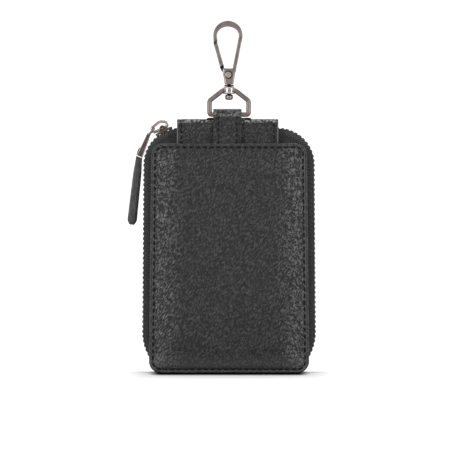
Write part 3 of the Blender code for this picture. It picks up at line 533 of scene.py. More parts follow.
LINING_IN, LINING_FRONT, LINING_REAR, TWILL_SCALE = 6.0, 3.2, 6.9, 314.0 / 0.42
LINING_PROFILE = ((0.0, 0.0), (0.0, 0.3), (0.15, 0.4), (0.9, 0.4), (1.1, 0.32), (1.3, 0.3),
                  (10.0, 0.3), (26.0, 0.3))
lining_cloth, tree, cloth = new_finish("lining_cloth")
where = own_place(tree)
turned = add_node(tree, "Mapping", {"Vector": where, "Rotation": (0, 0.9, 0)}).outputs[0]
ribs = add_node(tree, "TexWave", {"Vector": turned, "Scale": TWILL_SCALE, "Distortion": 0.6,
                                  "Detail": 2.0, "Detail Scale": 3.0},
                bands_direction="X").outputs["Fac"]
yarn = add_node(tree, "TexWave", {"Vector": where, "Scale": TWILL_SCALE, "Distortion": 0.4},
                bands_direction="Z").outputs["Fac"]
height = layered(tree, speckle(tree, where, 4200.0, 3.0), (ribs, 0.5), (yarn, 0.3))
dress(tree, cloth, two_tone(tree, height, 0.4, (0.008, 0.008, 0.009), 1.0, (0.04, 0.04, 0.043)),
      0.85, height, 0.7, 0.00008)
cloth.inputs["Sheen Weight"].default_value = 0.25
for half, side, outside in (("front", -1, LINING_FRONT), ("rear", 1, LINING_REAR)):
    rings = [[stood(p, side * (outside - rise)) for p in face_line(LINING_IN + inset)]
             for inset, rise in LINING_PROFILE]
    lining = make_piece(half + "_lining_cloth", ring_skin(rings), lining_cloth, "case_" + half)
    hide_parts(half + "_lining")

# Zip tape
# Woven polyester tape in fine herringbone ribs. It is sewn in behind each face
# and flares out to the chain, where its edge is folded round the teeth's cord.

CHAIN_TOP, CHAIN_TOP_HALF, CHAIN_LOW_HALF, CHAIN_BEND = 105.0, 36.8, 37.3, 15.8
CHAIN_LOW, CHAIN_FOOT, CHAIN_FOOT_HALF = 17.0, 1.7, 30.5
CORNER_AT = Vector((CHAIN_BEND - CHAIN_TOP_HALF, CHAIN_TOP - CHAIN_BEND))
TAPE_HALF, TAPE_NEAR, TAPE_START, TAPE_TURN, FLANGE_IN, HEM_BEND = 0.2, 1.95, 0.4, 3.0, 5.0, 1.3
TAPE_COUNTS, TAPE_STEPS, FRONT_FLANGE, REAR_FLANGE = (26, 60, 44, 24), 6, 2.8, 6.5


def eased(share):
    return share * share * (3 - 2 * share)


def share_of(line, share):
    """The point a share of the way along a line."""
    lengths = [(b - a).length for a, b in zip(line, line[1:])]
    left = share * sum(lengths)
    for start, end, length in zip(line, line[1:], lengths):
        if left <= length:
            return start.lerp(end, left / length if length else 0)
        left -= length
    return line[-1]


def whole_way(parts, counts):
    """Stations up the left side, over the top and down the right side."""
    spots = []
    for part, count in zip(parts, counts):
        spots += [share_of(part, i / count) for i in range(count)]
    spots.append(parts[-1][-1])
    return spots + [Vector((-p.x, p.y)) for p in spots[-2::-1]]


drop, run_in = CHAIN_LOW - CHAIN_FOOT, CHAIN_LOW_HALF - CHAIN_FOOT_HALF
foot_bend = (drop * drop + run_in * run_in) / (2 * run_in)
foot_turn = math.asin(drop / foot_bend)
chain_parts = [round_arc((foot_bend - CHAIN_LOW_HALF, CHAIN_LOW), foot_bend, math.pi + foot_turn,
                         math.pi, 30)]
chain_parts.append([chain_parts[0][-1], Vector((-CHAIN_TOP_HALF, CORNER_AT.y))])
chain_parts.append(round_arc(CORNER_AT, CHAIN_BEND, math.pi, math.pi / 2, 60))
chain_parts.append([chain_parts[2][-1], Vector((0, CHAIN_TOP))])
low_in, top_in, edge_top = (FLANGE_IN - FACE_FOOT_HALF, FLANGE_IN - FACE_TOP_HALF,
                            FACE_HEIGHT - FLANGE_IN)
edge_parts = [round_arc((low_in + HEM_BEND, FLANGE_IN + HEM_BEND), HEM_BEND, math.pi * 1.5,
                        math.pi, 12) + [Vector((low_in, CHAIN_LOW))]]
edge_parts.append([edge_parts[0][-1], Vector((top_in, CORNER_AT.y))])
edge_parts.append([edge_parts[1][-1]]
                  + round_arc((top_in + HEM_BEND, edge_top - HEM_BEND), HEM_BEND, math.pi,
                              math.pi / 2, 12)
                  + [Vector((CORNER_AT.x, edge_top))])
edge_parts.append([edge_parts[2][-1], Vector((0, edge_top))])

tape_finish, tree, weave = new_finish("tape_weave")
run_at = add_node(tree, "Attribute", {}, attribute_name="tape_run").outputs["Vector"]
parts = add_node(tree, "SeparateXYZ", {"Vector": run_at}).outputs
zigzag = maths(tree, "PINGPONG", parts["Y"], 2.6)
slant = layered(tree, parts["X"], (zigzag, 0.9), (speckle(tree, run_at, 0.8, 2.0), 1.1))
ribs = maths(tree, "SINE", maths(tree, "MULTIPLY", slant, 5.6))
cross = maths(tree, "SINE", maths(tree, "MULTIPLY", parts["Y"], 14.0))
height = layered(tree, speckle(tree, run_at, 3.1, 4.0, 0.7), (ribs, 0.28), (cross, 0.1))
colour = two_tone(tree, height, 0.3, (0.002, 0.002, 0.0025), 0.8, (0.09, 0.088, 0.088))
# Painted shade: the tape darkens where it runs in under the face's edge.
painted_edge_shade = ranged(tree, parts["Y"], 1.7, 3.0, end=0.6)
dress(tree, weave, blend(tree, painted_edge_shade, colour, (0.004, 0.004, 0.0045)), 0.8, height, 0.8, 0.00012)
weave.inputs["Specular IOR Level"].default_value = 0.25
weave.inputs["Sheen Weight"].default_value = 0.15

for half, side, flange in (("front", -1, FRONT_FLANGE), ("rear", 1, REAR_FLANGE)):
    rings, runs, passed = [], [], 0.0
    chain_spots, edge_spots = whole_way(chain_parts, TAPE_COUNTS), whole_way(edge_parts, TAPE_COUNTS)
    for i, (here, edge) in enumerate(zip(chain_spots, edge_spots)):
        passed += (here - chain_spots[i - 1]).length if i else 0
        length = (edge - here).length
        ahead = (edge - here) / length
        bend_in, bend_out = min(TAPE_TURN, length * 0.38), max(length - FLANGE_IN, length * 0.6)
        knots = [(TAPE_START, TAPE_NEAR), (bend_in, TAPE_NEAR), (bend_out, flange + TAPE_HALF),
                 (length, flange + TAPE_HALF)]
        line = []
        for (a, low), (b, high) in zip(knots, knots[1:]):
            for share in (k / TAPE_STEPS for k in range(TAPE_STEPS)):
                line.append((a + (b - a) * share, low + (high - low) * eased(share)))
        line.append(knots[-1])
        ring = []
        for sign, order in ((-1, line), (1, line[::-1])):
            for step, depth in order:
                ring.append(stood(here + ahead * step, side * (depth + sign * TAPE_HALF * 0.9)))
                runs.append((passed, step, sign))
        rings.append(ring)
    tape = make_piece(half + "_zip_tape", ring_skin(rings), tape_finish, "case_" + half)
    way = tape.data.attributes.new("tape_run", "FLOAT_VECTOR", "POINT")
    for item, mark in zip(way.data, runs):
        item.vector = mark
    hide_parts(half + "_tape")

# Zip teeth
# Moulded black teeth clamped on a cord at each tape's edge. The two rows stand
# side by side over the middle, and stay parted wherever the slider's wedge runs.

TOOTH_PITCH, TOOTH_HALF, TOOTH_DEEP, TOOTH_WIDE, TOOTH_APART = 2.1, 0.68, 1.2, 1.7, 0.04
CORD_IN, CORD_HALF, CORD_OUT = 0.85, 0.33, 1.85
SLIDER_LEFT, SLIDER_RIGHT = math.radians(40), math.radians(12)
SLIDER_MID = (SLIDER_LEFT + SLIDER_RIGHT) / 2
WEDGE_HALF, WEDGE_TURN, WEDGE_ROOM, SLIDER_WAY = 0.45, math.radians(5), 0.3, math.radians(34)
PART_FULL, PART_END, CORD_COUNTS = 1.6, 2.5, (60, 60, 60, 40)
teeth_finish, tree, resin = new_finish("tooth_resin")
grit = speckle(tree, own_place(tree), 1500.0, 4.0)
dress(tree, resin, two_tone(tree, grit, 0.35, (0.004,) * 3, 0.75, (0.045, 0.043, 0.043)),
      ranged(tree, grit, 0.0, 1.0, 0.28, 0.5), grit, 0.3, 0.00005)


def row_apart(spot):
    """How far a row stands off the middle: further where the slider's wedge travels."""
    turn = math.atan2(CORNER_AT.x - spot.x, spot.y - CORNER_AT.y) - SLIDER_MID
    away = max(abs(turn - SLIDER_WAY / 2) - SLIDER_WAY / 2, 0) / WEDGE_TURN
    if spot.x > 0 or spot.y < CORNER_AT.y or away > PART_END:
        return TOOTH_APART
    parted = WEDGE_HALF + WEDGE_ROOM
    closing = max(away - PART_FULL, 0) / (PART_END - PART_FULL)
    return parted + (TOOTH_APART - parted) * closing


def round_block(centre, axes, halves, power=0.45):
    """A block with softly rounded sides and ends."""
    rings = []
    for i in range(1, 8):
        lift = squared(math.cos(math.pi * i / 8), power)
        wide = (1 - abs(lift) ** (2 / power)) ** (power / 2) if abs(lift) < 1 else 0
        wide = max(wide, 0.35)
        rings.append([centre + axes[0] * (halves[0] * wide * squared(math.cos(t), power))
                      + axes[1] * (halves[1] * wide * squared(math.sin(t), power))
                      + axes[2] * (halves[2] * lift) for t in turns(12, 0.5)])
    return ring_skin(rings)


chain_line = whole_way(chain_parts, CORD_COUNTS)
for half, side in (("front", -1), ("rear", 1)):
    shapes = []
    for spot, run in spaced(chain_line, TOOTH_PITCH, closed=False):
        apart = row_apart(spot)
        wide = TOOTH_APART + TOOTH_WIDE - apart
        inward = Vector((run.y, 0, -run.x))
        centre = stood(spot, side * (apart + wide / 2)) + inward * (TOOTH_DEEP * 0.48)
        shapes.append(round_block(centre, (stood(run, 0), inward, Vector((0, 1, 0))),
                                  (TOOTH_HALF, TOOTH_DEEP * 0.5, wide / 2)))
    cord_rings = []
    for i, spot in enumerate(chain_line):
        run = (chain_line[min(i + 1, len(chain_line) - 1)] - chain_line[max(i - 1, 0)]).normalized()
        inward = Vector((run.y, 0, -run.x))
        core = row_apart(spot) - TOOTH_APART
        y, cord_half = side * (core + CORD_OUT) / 2, (CORD_OUT - core) / 2
        cord_rings.append([stood(spot, y + cord_half * math.sin(t))
                           + inward * (CORD_IN + CORD_HALF * math.cos(t)) for t in turns(8)])
    shapes.append(ring_skin(cord_rings))
    teeth = make_piece(half + "_zip_teeth", join_shapes(shapes), teeth_finish, "case_" + half)
    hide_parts(half + "_coil")

# Hanging tab
# A wide strip of the same hide folded over at the top and tucked in behind the
# face, its sides sewn through. A highlight is painted along the fold, broken up by
# the cracked grain, and a shadow is painted black where the ring's two lower
# corners stand over it.

TAB_LEFT, TAB_RIGHT, TAB_TOP, TAB_FOOT, TAB_MID = -22.3, 21.1, 108.6, 85.8, -4.45
TAB_HALF, TAB_SLIT_HALF, TAB_WAVE, TAB_LIFT = 0.95, 0.08, 0.05, (9.0, 0.7, 0.55)
STRIP_FRONT, STRIP_FOLD, STRIP_BACK, STRIP_THIN, STRIP_ROUND = 22, 12, 8, 0.28, 0.45
TAB_EDGE, RING_SHADOW_DEEP, RING_SHADOW_NEAR, RING_SHADOW_FAR = 0.6, 0.9, 6.6, 9.5
TAB_SEAM_IN, TAB_SEAM_LOW, TAB_SEAM_TOP, TAB_PITCH = 1.9, 87.5, 107.0, 2.6
TAB_STITCH, FINE_HALF, THREAD_SINK = 1.8, 0.27, 0.02
# The fold's highlight is painted into the tab's colour.
tab_leather = pebbled_leather("tab_leather", (0.002, 0.002, 0.0021), (0.04, 0.04, 0.0405),
                              painted_fold_highlight=(TAB_TOP - 0.7, 1.0, (0.26, 0.255, 0.25)))
tab_paint = edge_paint("tab_edge_paint", (0.075, 0.074, 0.074))
painted_ring_shadow = edge_paint("painted_ring_shadow", (0.001, 0.001, 0.001), shine=0.05)


def folded_strip(left, right, outer, inner, top, foot_front, foot_back, stations, lift=None):
    """A strip folded over at the top, in rings from its left edge to its right one.

    lift gives where a raised middle starts to fall, over which width, and by how much.
    """
    rings = []
    for i in range(stations + 1):
        x = left + (right - left) * i / stations
        edge = min(x - left, right - x)
        mid_line, high = (outer + inner) / 2, top - outer
        if lift:
            high += lift[2] * (1 - eased(min(max((abs(x) - lift[0]) / lift[1], 0), 1)))
        thick = (outer - inner) / 2 * (1 - STRIP_THIN * max(0.0, 1 - edge / STRIP_ROUND) ** 2)
        ring = []
        for sign in (1, -1):
            spots = [(-1, foot_front + (high - foot_front) * k / STRIP_FRONT, None)
                     for k in range(STRIP_FRONT)]
            spots += [(0, 0, math.pi - math.pi * k / STRIP_FOLD) for k in range(STRIP_FOLD + 1)]
            spots += [(1, high + (foot_back - high) * k / STRIP_BACK, None)
                      for k in range(1, STRIP_BACK + 1)]
            for leg, z, turn in spots[::sign]:
                reach = mid_line + sign * thick
                y, z = ((leg * reach, z) if turn is None
                        else (reach * math.cos(turn), high + reach * math.sin(turn)))
                bump = TAB_WAVE * noise.noise(Vector((x * 0.5, z * 0.4, 9.0)))
                ring.append(Vector((x, TAB_MID + y + (bump if leg < 1 and turn is None else 0),
                                    z + bump * (0.5 if turn is not None else 0))))
        rings.append(ring)
    return ring_skin(rings)


def sewn_down(columns, low, high, pitch, length, sides):
    """Upright rows of fine stitches, sides giving which way they face and how deep they lie."""
    return join_shapes([thread_stitch(stood(spot, depth), Vector((0, 0, 1)), Vector((0, out, 0)),
                                      length, FINE_HALF)
                        for x in columns
                        for spot, run in spaced([Vector((x, low)), Vector((x, high))], pitch,
                                                closed=False)
                        for out, depth in sides])


tab = make_piece("hanging_tab", folded_strip(
    TAB_LEFT, TAB_RIGHT, TAB_HALF, TAB_SLIT_HALF, TAB_TOP, TAB_FOOT, TAB_FOOT, 96,
    lift=TAB_LIFT), [tab_leather, tab_paint, painted_ring_shadow], "case_front")
# Painted shadow: near black where the ring's lower corners stand over the fold.
paint_faces(tab, 2, lambda part: RING_SHADOW_NEAR < abs(part.center.x / MM) < RING_SHADOW_FAR
            and part.center.z / MM > TAB_TOP - RING_SHADOW_DEEP)
paint_faces(tab, 1, lambda part: abs(part.center.x / MM - (TAB_LEFT + TAB_RIGHT) / 2)
            > (TAB_RIGHT - TAB_LEFT) / 2 - TAB_EDGE)
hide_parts("hang_tab")
tab_sewing = make_piece("tab_stitches", sewn_down(
    (TAB_LEFT + TAB_SEAM_IN, TAB_RIGHT - TAB_SEAM_IN), TAB_SEAM_LOW, TAB_SEAM_TOP, TAB_PITCH,
    TAB_STITCH, [(out, TAB_MID + out * (TAB_HALF - THREAD_SINK)) for out in (-1, 1)]),
    black_thread, "case_front")

# Ring loop
# A narrow strap folded over the ring's bar. Its long leg runs down in front of
# the tab and is sewn to it, its short leg ends behind.

STRAP_LEFT, STRAP_RIGHT, STRAP_INNER, STRAP_OUTER = -6.75, 5.35, 1.25, 2.45
STRAP_TOP, STRAP_FOOT, STRAP_BACK_FOOT = 112.95, 88.5, 105.6
STRAP_SEAM_LEFT, STRAP_SEAM_RIGHT, STRAP_SEAM_LOW, STRAP_SEAM_TOP = 2.3, 2.0, 90.0, 110.35
STRAP_PITCH, STRAP_STITCH = 2.5, 1.75
# A highlight is painted along the top of the loop's fold.
loop_leather = pebbled_leather("loop_leather", (0.002, 0.002, 0.0021), (0.042, 0.042, 0.0425),
                               painted_fold_highlight=(STRAP_TOP - 1.9, 1.8, (0.14, 0.137, 0.135)))
loop = make_piece("ring_loop", folded_strip(
    STRAP_LEFT, STRAP_RIGHT, STRAP_OUTER, STRAP_INNER, STRAP_TOP, STRAP_FOOT, STRAP_BACK_FOOT,
    40), loop_leather, "case_front")
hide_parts("hang_loop")
loop_sewing = make_piece("loop_stitches", sewn_down(
    (STRAP_LEFT + STRAP_SEAM_LEFT, STRAP_RIGHT - STRAP_SEAM_RIGHT), STRAP_SEAM_LOW,
    STRAP_SEAM_TOP, STRAP_PITCH, STRAP_STITCH, [(-1, TAB_MID - STRAP_OUTER + THREAD_SINK)]),
    black_thread, "case_front")

# Ring and boss
# Six-sided ring of round wire, its bar held in the loop. The swivel's boss is
# brazed on at the top. Both are plated gunmetal; the boss is polished, and its
# tone is set brighter as a painted highlight.

RING_MID, BAR_HIGH, RING_WIRE = -4.45, 110.5, 1.0
RING_HALF, RING_SHOULDER, RING_TOP_HALF, RING_TOP = 8.35, 116.4, 2.7, 120.8


def plated_metal(name, tone, rough=(0.26, 0.42), scuff=0.5):
    """Polished plating with faint brush marks, handling scuffs and dulled patches."""
    finish, tree, metal = new_finish(name)
    where = own_place(tree)
    streaks = add_node(tree, "Mapping", {"Vector": where, "Scale": (1.0, 1.0, 0.12)}).outputs[0]
    brush = speckle(tree, streaks, 5200.0, 3.0, 0.65)
    dull = speckle(tree, where, 420.0, 4.0, 0.6)
    pits = add_node(tree, "TexVoronoi", {"Vector": where, "Scale": 2600.0}).outputs["Distance"]
    pits = ranged(tree, pits, 0.0, 0.16, 1.0, 0.0)
    colour = two_tone(tree, dull, 0.3, [c * 0.62 for c in tone], 0.72, tone)
    colour = blend(tree, maths(tree, "MULTIPLY", pits, 0.35), colour, [c * 0.4 for c in tone])
    mixed = layered(tree, dull, (brush, 0.45))
    dress(tree, metal, colour, ranged(tree, mixed, 0.4, 1.05, *rough),
          layered(tree, brush, (pits, -0.6)), scuff, 0.000012)
    metal.inputs["Metallic"].default_value = 1.0
    metal.inputs["Specular Tint"].default_value = (0.3, 0.27, 0.26, 1)
    return finish


def bent_line(corners, radii, steps=8):
    """A closed line of corners with each corner turned on a round bend."""
    line = []
    for i, (corner, radius) in enumerate(zip(corners, radii)):
        here = Vector(corner)
        back, ahead = Vector(corners[i - 1]) - here, Vector(corners[(i + 1) % len(corners)]) - here
        reach = min(radius / math.tan(back.angle(ahead) / 2), back.length * 0.49,
                    ahead.length * 0.49)
        start, end = here + back.normalized() * reach, here + ahead.normalized() * reach
        for k in range(steps + 1):
            share = k / steps
            line.append(start * (1 - share) ** 2 + here * 2 * share * (1 - share)
                        + end * share ** 2)
    return line


def wire_shape(path, radius, around=16, level=Vector((0, 1, 0)), flat=1.0):
    """Closed wire in a plane square to level, flat times as wide as deep."""
    rings = []
    for i, point in enumerate(path):
        run = (path[(i + 1) % len(path)] - path[i - 1]).normalized()
        side = run.cross(level).normalized()
        rings.append([point + side * (radius * flat * math.cos(t)) + level * (radius * math.sin(t))
                      for t in turns(around)])
    return ring_skin(rings, closed=True)


def upright_turning(x, y, steps, around=40):
    """A turned piece on an upright axis from (radius, height) steps."""
    return ring_skin([[Vector((x + r * math.cos(t), y + r * math.sin(t), z))
                       for t in turns(around)] for r, z in steps])


gunmetal = plated_metal("gunmetal", (0.225, 0.192, 0.183))
ring_metal = plated_metal("ring_metal", (0.185, 0.155, 0.146), rough=(0.34, 0.48))
# The boss is polished, and its brighter tone is a painted highlight.
boss_metal = plated_metal("boss_metal", (0.5, 0.45, 0.43), rough=(0.1, 0.2))
ring_line = bent_line([(-RING_HALF, BAR_HIGH), (-RING_HALF, RING_SHOULDER),
                       (-RING_TOP_HALF, RING_TOP), (RING_TOP_HALF, RING_TOP),
                       (RING_HALF, RING_SHOULDER), (RING_HALF, BAR_HIGH)],
                      (1.0, 1.5, 1.5, 1.5, 1.5, 1.0))
ring_wire = wire_shape([stood(p, RING_MID) for p in ring_line], RING_WIRE)
boss = upright_turning(0, RING_MID, [
    (1.05, 119.6), (1.05, 119.4), (2.2, 119.35), (2.45, 119.45), (2.58, 119.7), (2.6, 120.1),
    (2.42, 120.3), (2.42, 120.5), (2.6, 120.7), (2.6, 121.6), (2.5, 122.0), (2.3, 122.2),
    (1.9, 122.25), (1.05, 122.25), (1.05, 122.0)])
ring_piece = make_piece("swivel_ring", join_shapes([ring_wire, boss]), [ring_metal, boss_metal],
                        "ring_frame", smooth=40)
paint_faces(ring_piece, 1, lambda part: part.index >= len(ring_wire[1]))
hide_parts("ring")

# Swivel post
# A turned post with a button head below the boss and a collar above it, on
# which the hook turns. Only the head's rim is left bright; the rest is painted
# black as shade.

# Near-black plating used as painted shade: on the post, the hook's nose, the gate's ends and the
# rivet's rings.
painted_shade_black = plated_metal("painted_shade_black", (0.012, 0.011, 0.011), rough=(0.15, 0.3))
HEAD_RIM_LOW, HEAD_RIM_TOP = 117.2, 118.5
post = make_piece("swivel_pin", upright_turning(0, RING_MID, [
    (0.5, 116.8), (1.1, 116.85), (1.45, 117.05), (1.65, 117.4), (1.7, 117.8), (1.66, 118.5),
    (1.5, 118.9), (1.2, 119.05), (0.8, 119.1), (0.8, 122.45), (1.9, 122.5), (2.08, 122.62),
    (2.1, 122.8), (2.05, 123.0), (1.9, 123.1), (0.8, 123.12), (0.8, 124.2)]),
    [painted_shade_black, gunmetal], "hook", smooth=40)
paint_faces(post, 1, lambda part: HEAD_RIM_LOW < part.center.z / MM < HEAD_RIM_TOP)
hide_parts("swivel_post")

# Snap hook
# Cast hook with a rounded, slightly flat bow, thickest over the crown, the end of
# its nose painted black as shade. Its tapering foot is slotted from the left for the gate.

HOOK_BASE_LOW, HOOK_BASE_TOP, BASE_LOW_HALF, BASE_GROW, BASE_ROUND = 123.4, 130.2, 1.85, 1.15, 0.12
HOOK_X, HOOK_CROWN, HOOK_ACROSS, HOOK_RISE, HOOK_NOSE = -0.5, 144.3, 5.5, 5.1, 141.15
LEG_STOCK, CROWN_STOCK, HOOK_THICK = 1.6, 2.4, 2.6
LEG_FOOT = Vector((2.02, HOOK_BASE_TOP - 1.4))
SLOT_LEFT, SLOT_RIGHT, SLOT_FRONT, SLOT_BACK, SLOT_LOW, SLOT_TOP = -6, 1.7, -5.15, -3.75, 124.9, 131
BOW_START, BOW_TURN, BOW_STEPS, NOSE_SHARES = -6, 192, 64, (0.2, 0.4, 0.6, 0.76, 0.77, 1.0)
AROUND = 24


def oval_sweep(path, widths, thicks, power=0.25, slants=None):
    """A bar of rounded section along flat points, its width in the plane of the points."""
    rings = []
    slants = slants or [0.0] * len(path)
    for i, point in enumerate(path):
        run = (path[min(i + 1, len(path) - 1)] - path[max(i - 1, 0)]).normalized()
        side = Vector((-run.y, run.x))
        ring = []
        for t in turns(AROUND):
            out = squared(math.cos(t), power) * widths[i] / 2
            deep = squared(math.sin(t), power) * thicks[i] / 2
            ring.append(Vector((point.x + side.x * out, RING_MID + deep,
                                point.y + side.y * out + slants[i] * side.x * out)))
        rings.append(ring)
    return ring_skin(rings)


def bow_spot(degrees):
    turn = math.radians(degrees)
    return Vector((HOOK_X + HOOK_ACROSS * math.cos(turn), HOOK_CROWN + HOOK_RISE * math.sin(turn)))


hook_line = [LEG_FOOT.lerp(bow_spot(BOW_START), k / 12) for k in range(12)]
hook_wide = [LEG_STOCK] * len(hook_line)
for k in range(BOW_STEPS + 1):
    degrees = BOW_START + BOW_TURN * k / BOW_STEPS
    hook_line.append(bow_spot(degrees))
    hook_wide.append(LEG_STOCK + (CROWN_STOCK - LEG_STOCK)
                     * max(math.sin(math.radians(degrees)), 0) ** 2)
nose_start, nose_end = hook_line[-1], Vector((HOOK_X - HOOK_ACROSS + 0.2, HOOK_NOSE))
hook_line += [nose_start.lerp(nose_end, share) for share in NOSE_SHARES]
hook_wide += [LEG_STOCK] * len(NOSE_SHARES)
hook_slants = [0.0] * (len(hook_line) - 5) + [0.25, 0.5, 0.7, 0.7, 0.7]
hook_thick = [HOOK_THICK * (0.98 if 0 < k < len(hook_line) - 1 else 0.9)
              for k in range(len(hook_line))]
base_rings = []
for share, grow in ((0, 0.86), (0.03, 0.95), (0.08, 1.0), (0.3, 1.0), (0.6, 1.0), (0.9, 1.0),
                    (0.97, 0.99), (0.99, 0.96), (1, 0.9)):
    wide = (BASE_LOW_HALF + BASE_GROW * share) * grow
    deep = HOOK_THICK / 2 * (0.9 + 0.1 * grow)
    base_rings.append([
        Vector((wide * squared(math.cos(t), 0.4), RING_MID + deep * squared(math.sin(t), 0.4),
                HOOK_BASE_LOW + (HOOK_BASE_TOP - HOOK_BASE_LOW) * share)) for t in turns(32, 0.5)])
hook_foot = make_piece("hook_foot", ring_skin(base_rings), gunmetal, "hook", smooth=40)
slot_cut = make_piece("slot_cut", ring_skin([
    [Vector((x, SLOT_FRONT, SLOT_LOW)), Vector((x, SLOT_BACK, SLOT_LOW)),
     Vector((x, SLOT_BACK, SLOT_TOP)), Vector((x, SLOT_FRONT, SLOT_TOP))]
    for x in (SLOT_LEFT, SLOT_RIGHT)]), gunmetal, "hook")
cutting = hook_foot.modifiers.new("slot", "BOOLEAN")
cutting.object, cutting.operation, cutting.solver = slot_cut, "DIFFERENCE", "EXACT"
settle(hook_foot, cutting)
bpy.data.objects.remove(slot_cut, do_unlink=True)
soft_edges(hook_foot, BASE_ROUND, segments=2)
hook_piece = make_piece("snap_hook", oval_sweep(hook_line, hook_wide, hook_thick,
                                                slants=hook_slants),
                        [gunmetal, painted_shade_black], "hook", smooth=40)
nose_face = AROUND * (len(hook_line) - 2)
# The nose's end is painted black as shade.
paint_faces(hook_piece, 1, lambda part: part.index >= nose_face
            and part.index != nose_face + AROUND)
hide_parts("hook_body")

# Gate spring
# A bent leaf of spring steel, held in the foot's slot, that presses the gate
# shut. It is left bare.

spring_steel = plated_metal("spring_steel", (0.45, 0.44, 0.43), rough=(0.3, 0.5))
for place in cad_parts["gate_spring"].material_slots:
    place.material = spring_steel

# Gate
# A straight cast bar, closed against the hook's nose, its two ends cut on a
# slant and painted black as shade. A dark lug carries it in the foot's slot.

GATE_PIVOT, GATE_ELBOW = Vector((-0.3, 127.5)), Vector((-2.75, 129.9))
GATE_TIP = Vector((-5.75, 140.8))
GATE_NECK = GATE_ELBOW.lerp(GATE_TIP, 0.7 / 10.9)
GATE_WIDE, GATE_THICK, SHANK_THICK = 1.62, 2.2, 0.8
gate_run = (GATE_TIP - GATE_NECK).normalized()
gate_length = (GATE_TIP - GATE_NECK).length
gate_steps = [(0, 0.9), (0.06, 1.0), (0.8, 1.0), (0.82, 1.0), (2.5, 1.0), (5.0, 1.0),
              (7.5, 0.97), (gate_length - 0.2, 0.93), (gate_length - 0.18, 0.93),
              (gate_length + 0.2, 0.9)]
gate_arm = oval_sweep([GATE_NECK + gate_run * at for at, grow in gate_steps],
                      [GATE_WIDE * grow for at, grow in gate_steps],
                      [GATE_THICK * grow for at, grow in gate_steps],
                      slants=[0.4, 0.4, 0.4, 0.4, 0.2, 0.0, 0.2, 0.45, 0.45, 0.45])
gate_piece = make_piece("gate_arm", gate_arm, [gunmetal, painted_shade_black], "gate", smooth=40)
# Both ends are painted black as shade.
paint_faces(gate_piece, 1, lambda part: part.index < 2 * AROUND
            or part.index >= AROUND * (len(gate_steps) - 2))
dark_metal = plated_metal("dark_oxide", (0.035, 0.033, 0.033), rough=(0.4, 0.6))
shank = oval_sweep([GATE_PIVOT, GATE_PIVOT.lerp(GATE_ELBOW, 0.5), GATE_PIVOT.lerp(GATE_ELBOW, 0.85),
                    GATE_ELBOW.lerp(GATE_TIP, 0.015), GATE_NECK + gate_run * 0.3],
                   [GATE_WIDE] * 5, [SHANK_THICK] * 5, power=0.3)


def level_turning(spot, steps, around):
    """A turned piece on a level axis from (radius, depth) steps."""
    return ring_skin([[Vector((spot.x + r * math.cos(t), y, spot.y + r * math.sin(t)))
                       for t in turns(around)] for r, y in steps])


lug = level_turning(GATE_PIVOT, [(1.2, -4.05), (1.6, -4.06), (1.7, -4.15), (1.7, -4.75),
                                 (1.6, -4.84), (1.2, -4.85)], 32)
gate_lug = make_piece("gate_lug", join_shapes([shank, lug]), dark_metal, "gate", smooth=40)
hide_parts("hook_gate")

# Gate rivet
# A turned pin through the slot's walls. Its low domed head is bright, and the
# groove and ring turned round it are painted black as shade.

RIVET_AROUND, DARK_STEPS = 36, range(3, 18)
rivet_front = [(0.15, -6.46), (0.7, -6.45), (1.1, -6.42), (1.3, -6.36), (1.34, -6.2),
               (1.45, -6.2), (1.5, -6.3), (1.62, -6.28), (1.72, -6.16), (1.74, -6.08), (1.7, -6.03)]
rivet_back = [(r, 2 * RING_MID - y) for r, y in rivet_front[::-1]]
rivet_metal = plated_metal("rivet_metal", (0.33, 0.295, 0.28), rough=(0.3, 0.42))
rivet = make_piece("gate_rivet_head",
                   level_turning(GATE_PIVOT, rivet_front + rivet_back, RIVET_AROUND),
                   [rivet_metal, painted_shade_black], "hook", smooth=35)
# The groove and ring round the head are painted black as shade.
paint_faces(rivet, 1, lambda part: part.index // RIVET_AROUND in DARK_STEPS)
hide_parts("gate_rivet")

# Zip slider
# Die-cast slider, plated like the hook but set in a darker tone as painted shade:
# a curved outer plate with a turned-down lip, a smaller inner plate, the wedge
# between them and the bridge for the bail.

PLATE_IN, PLATE_OUT, PLATE_HALF, PLATE_LIP = 16.1, 16.7, 2.4, 0.55
WING_IN, WING_OUT, WING_HALF, WEDGE_SUNK = 13.5, 14.3, 1.35, 0.3
TIP_NARROW, TIP_LONG, TIP_THIN, TIP_ROUND = 0.42, 1.1, 0.5, 0.3
EYE_AT, EYE_OUT, EYE_HALF, BRIDGE_DEEP, BRIDGE_SUNK = 17.35, 18.6, 1.1, 0.62, 0.15
BRIDGE_STEPS, BRIDGE_ARCH, BRIDGE_EDGE = 14, 0.55, 0.2
BRIDGE_OUTER_TURN = 1.25 / EYE_AT
BRIDGE_INNER_TURN = BRIDGE_OUTER_TURN - 0.034
# The slider's plating is set darker than the hook's, as painted shade.
slider_metal = plated_metal("slider_metal", (0.11, 0.094, 0.09), rough=(0.14, 0.26))


def corner_spot(radius, turn):
    """A point at a radius about the zip's corner, its turn counted from the top to the left."""
    return Vector((CORNER_AT.x - radius * math.sin(turn), CORNER_AT.y + radius * math.cos(turn)))


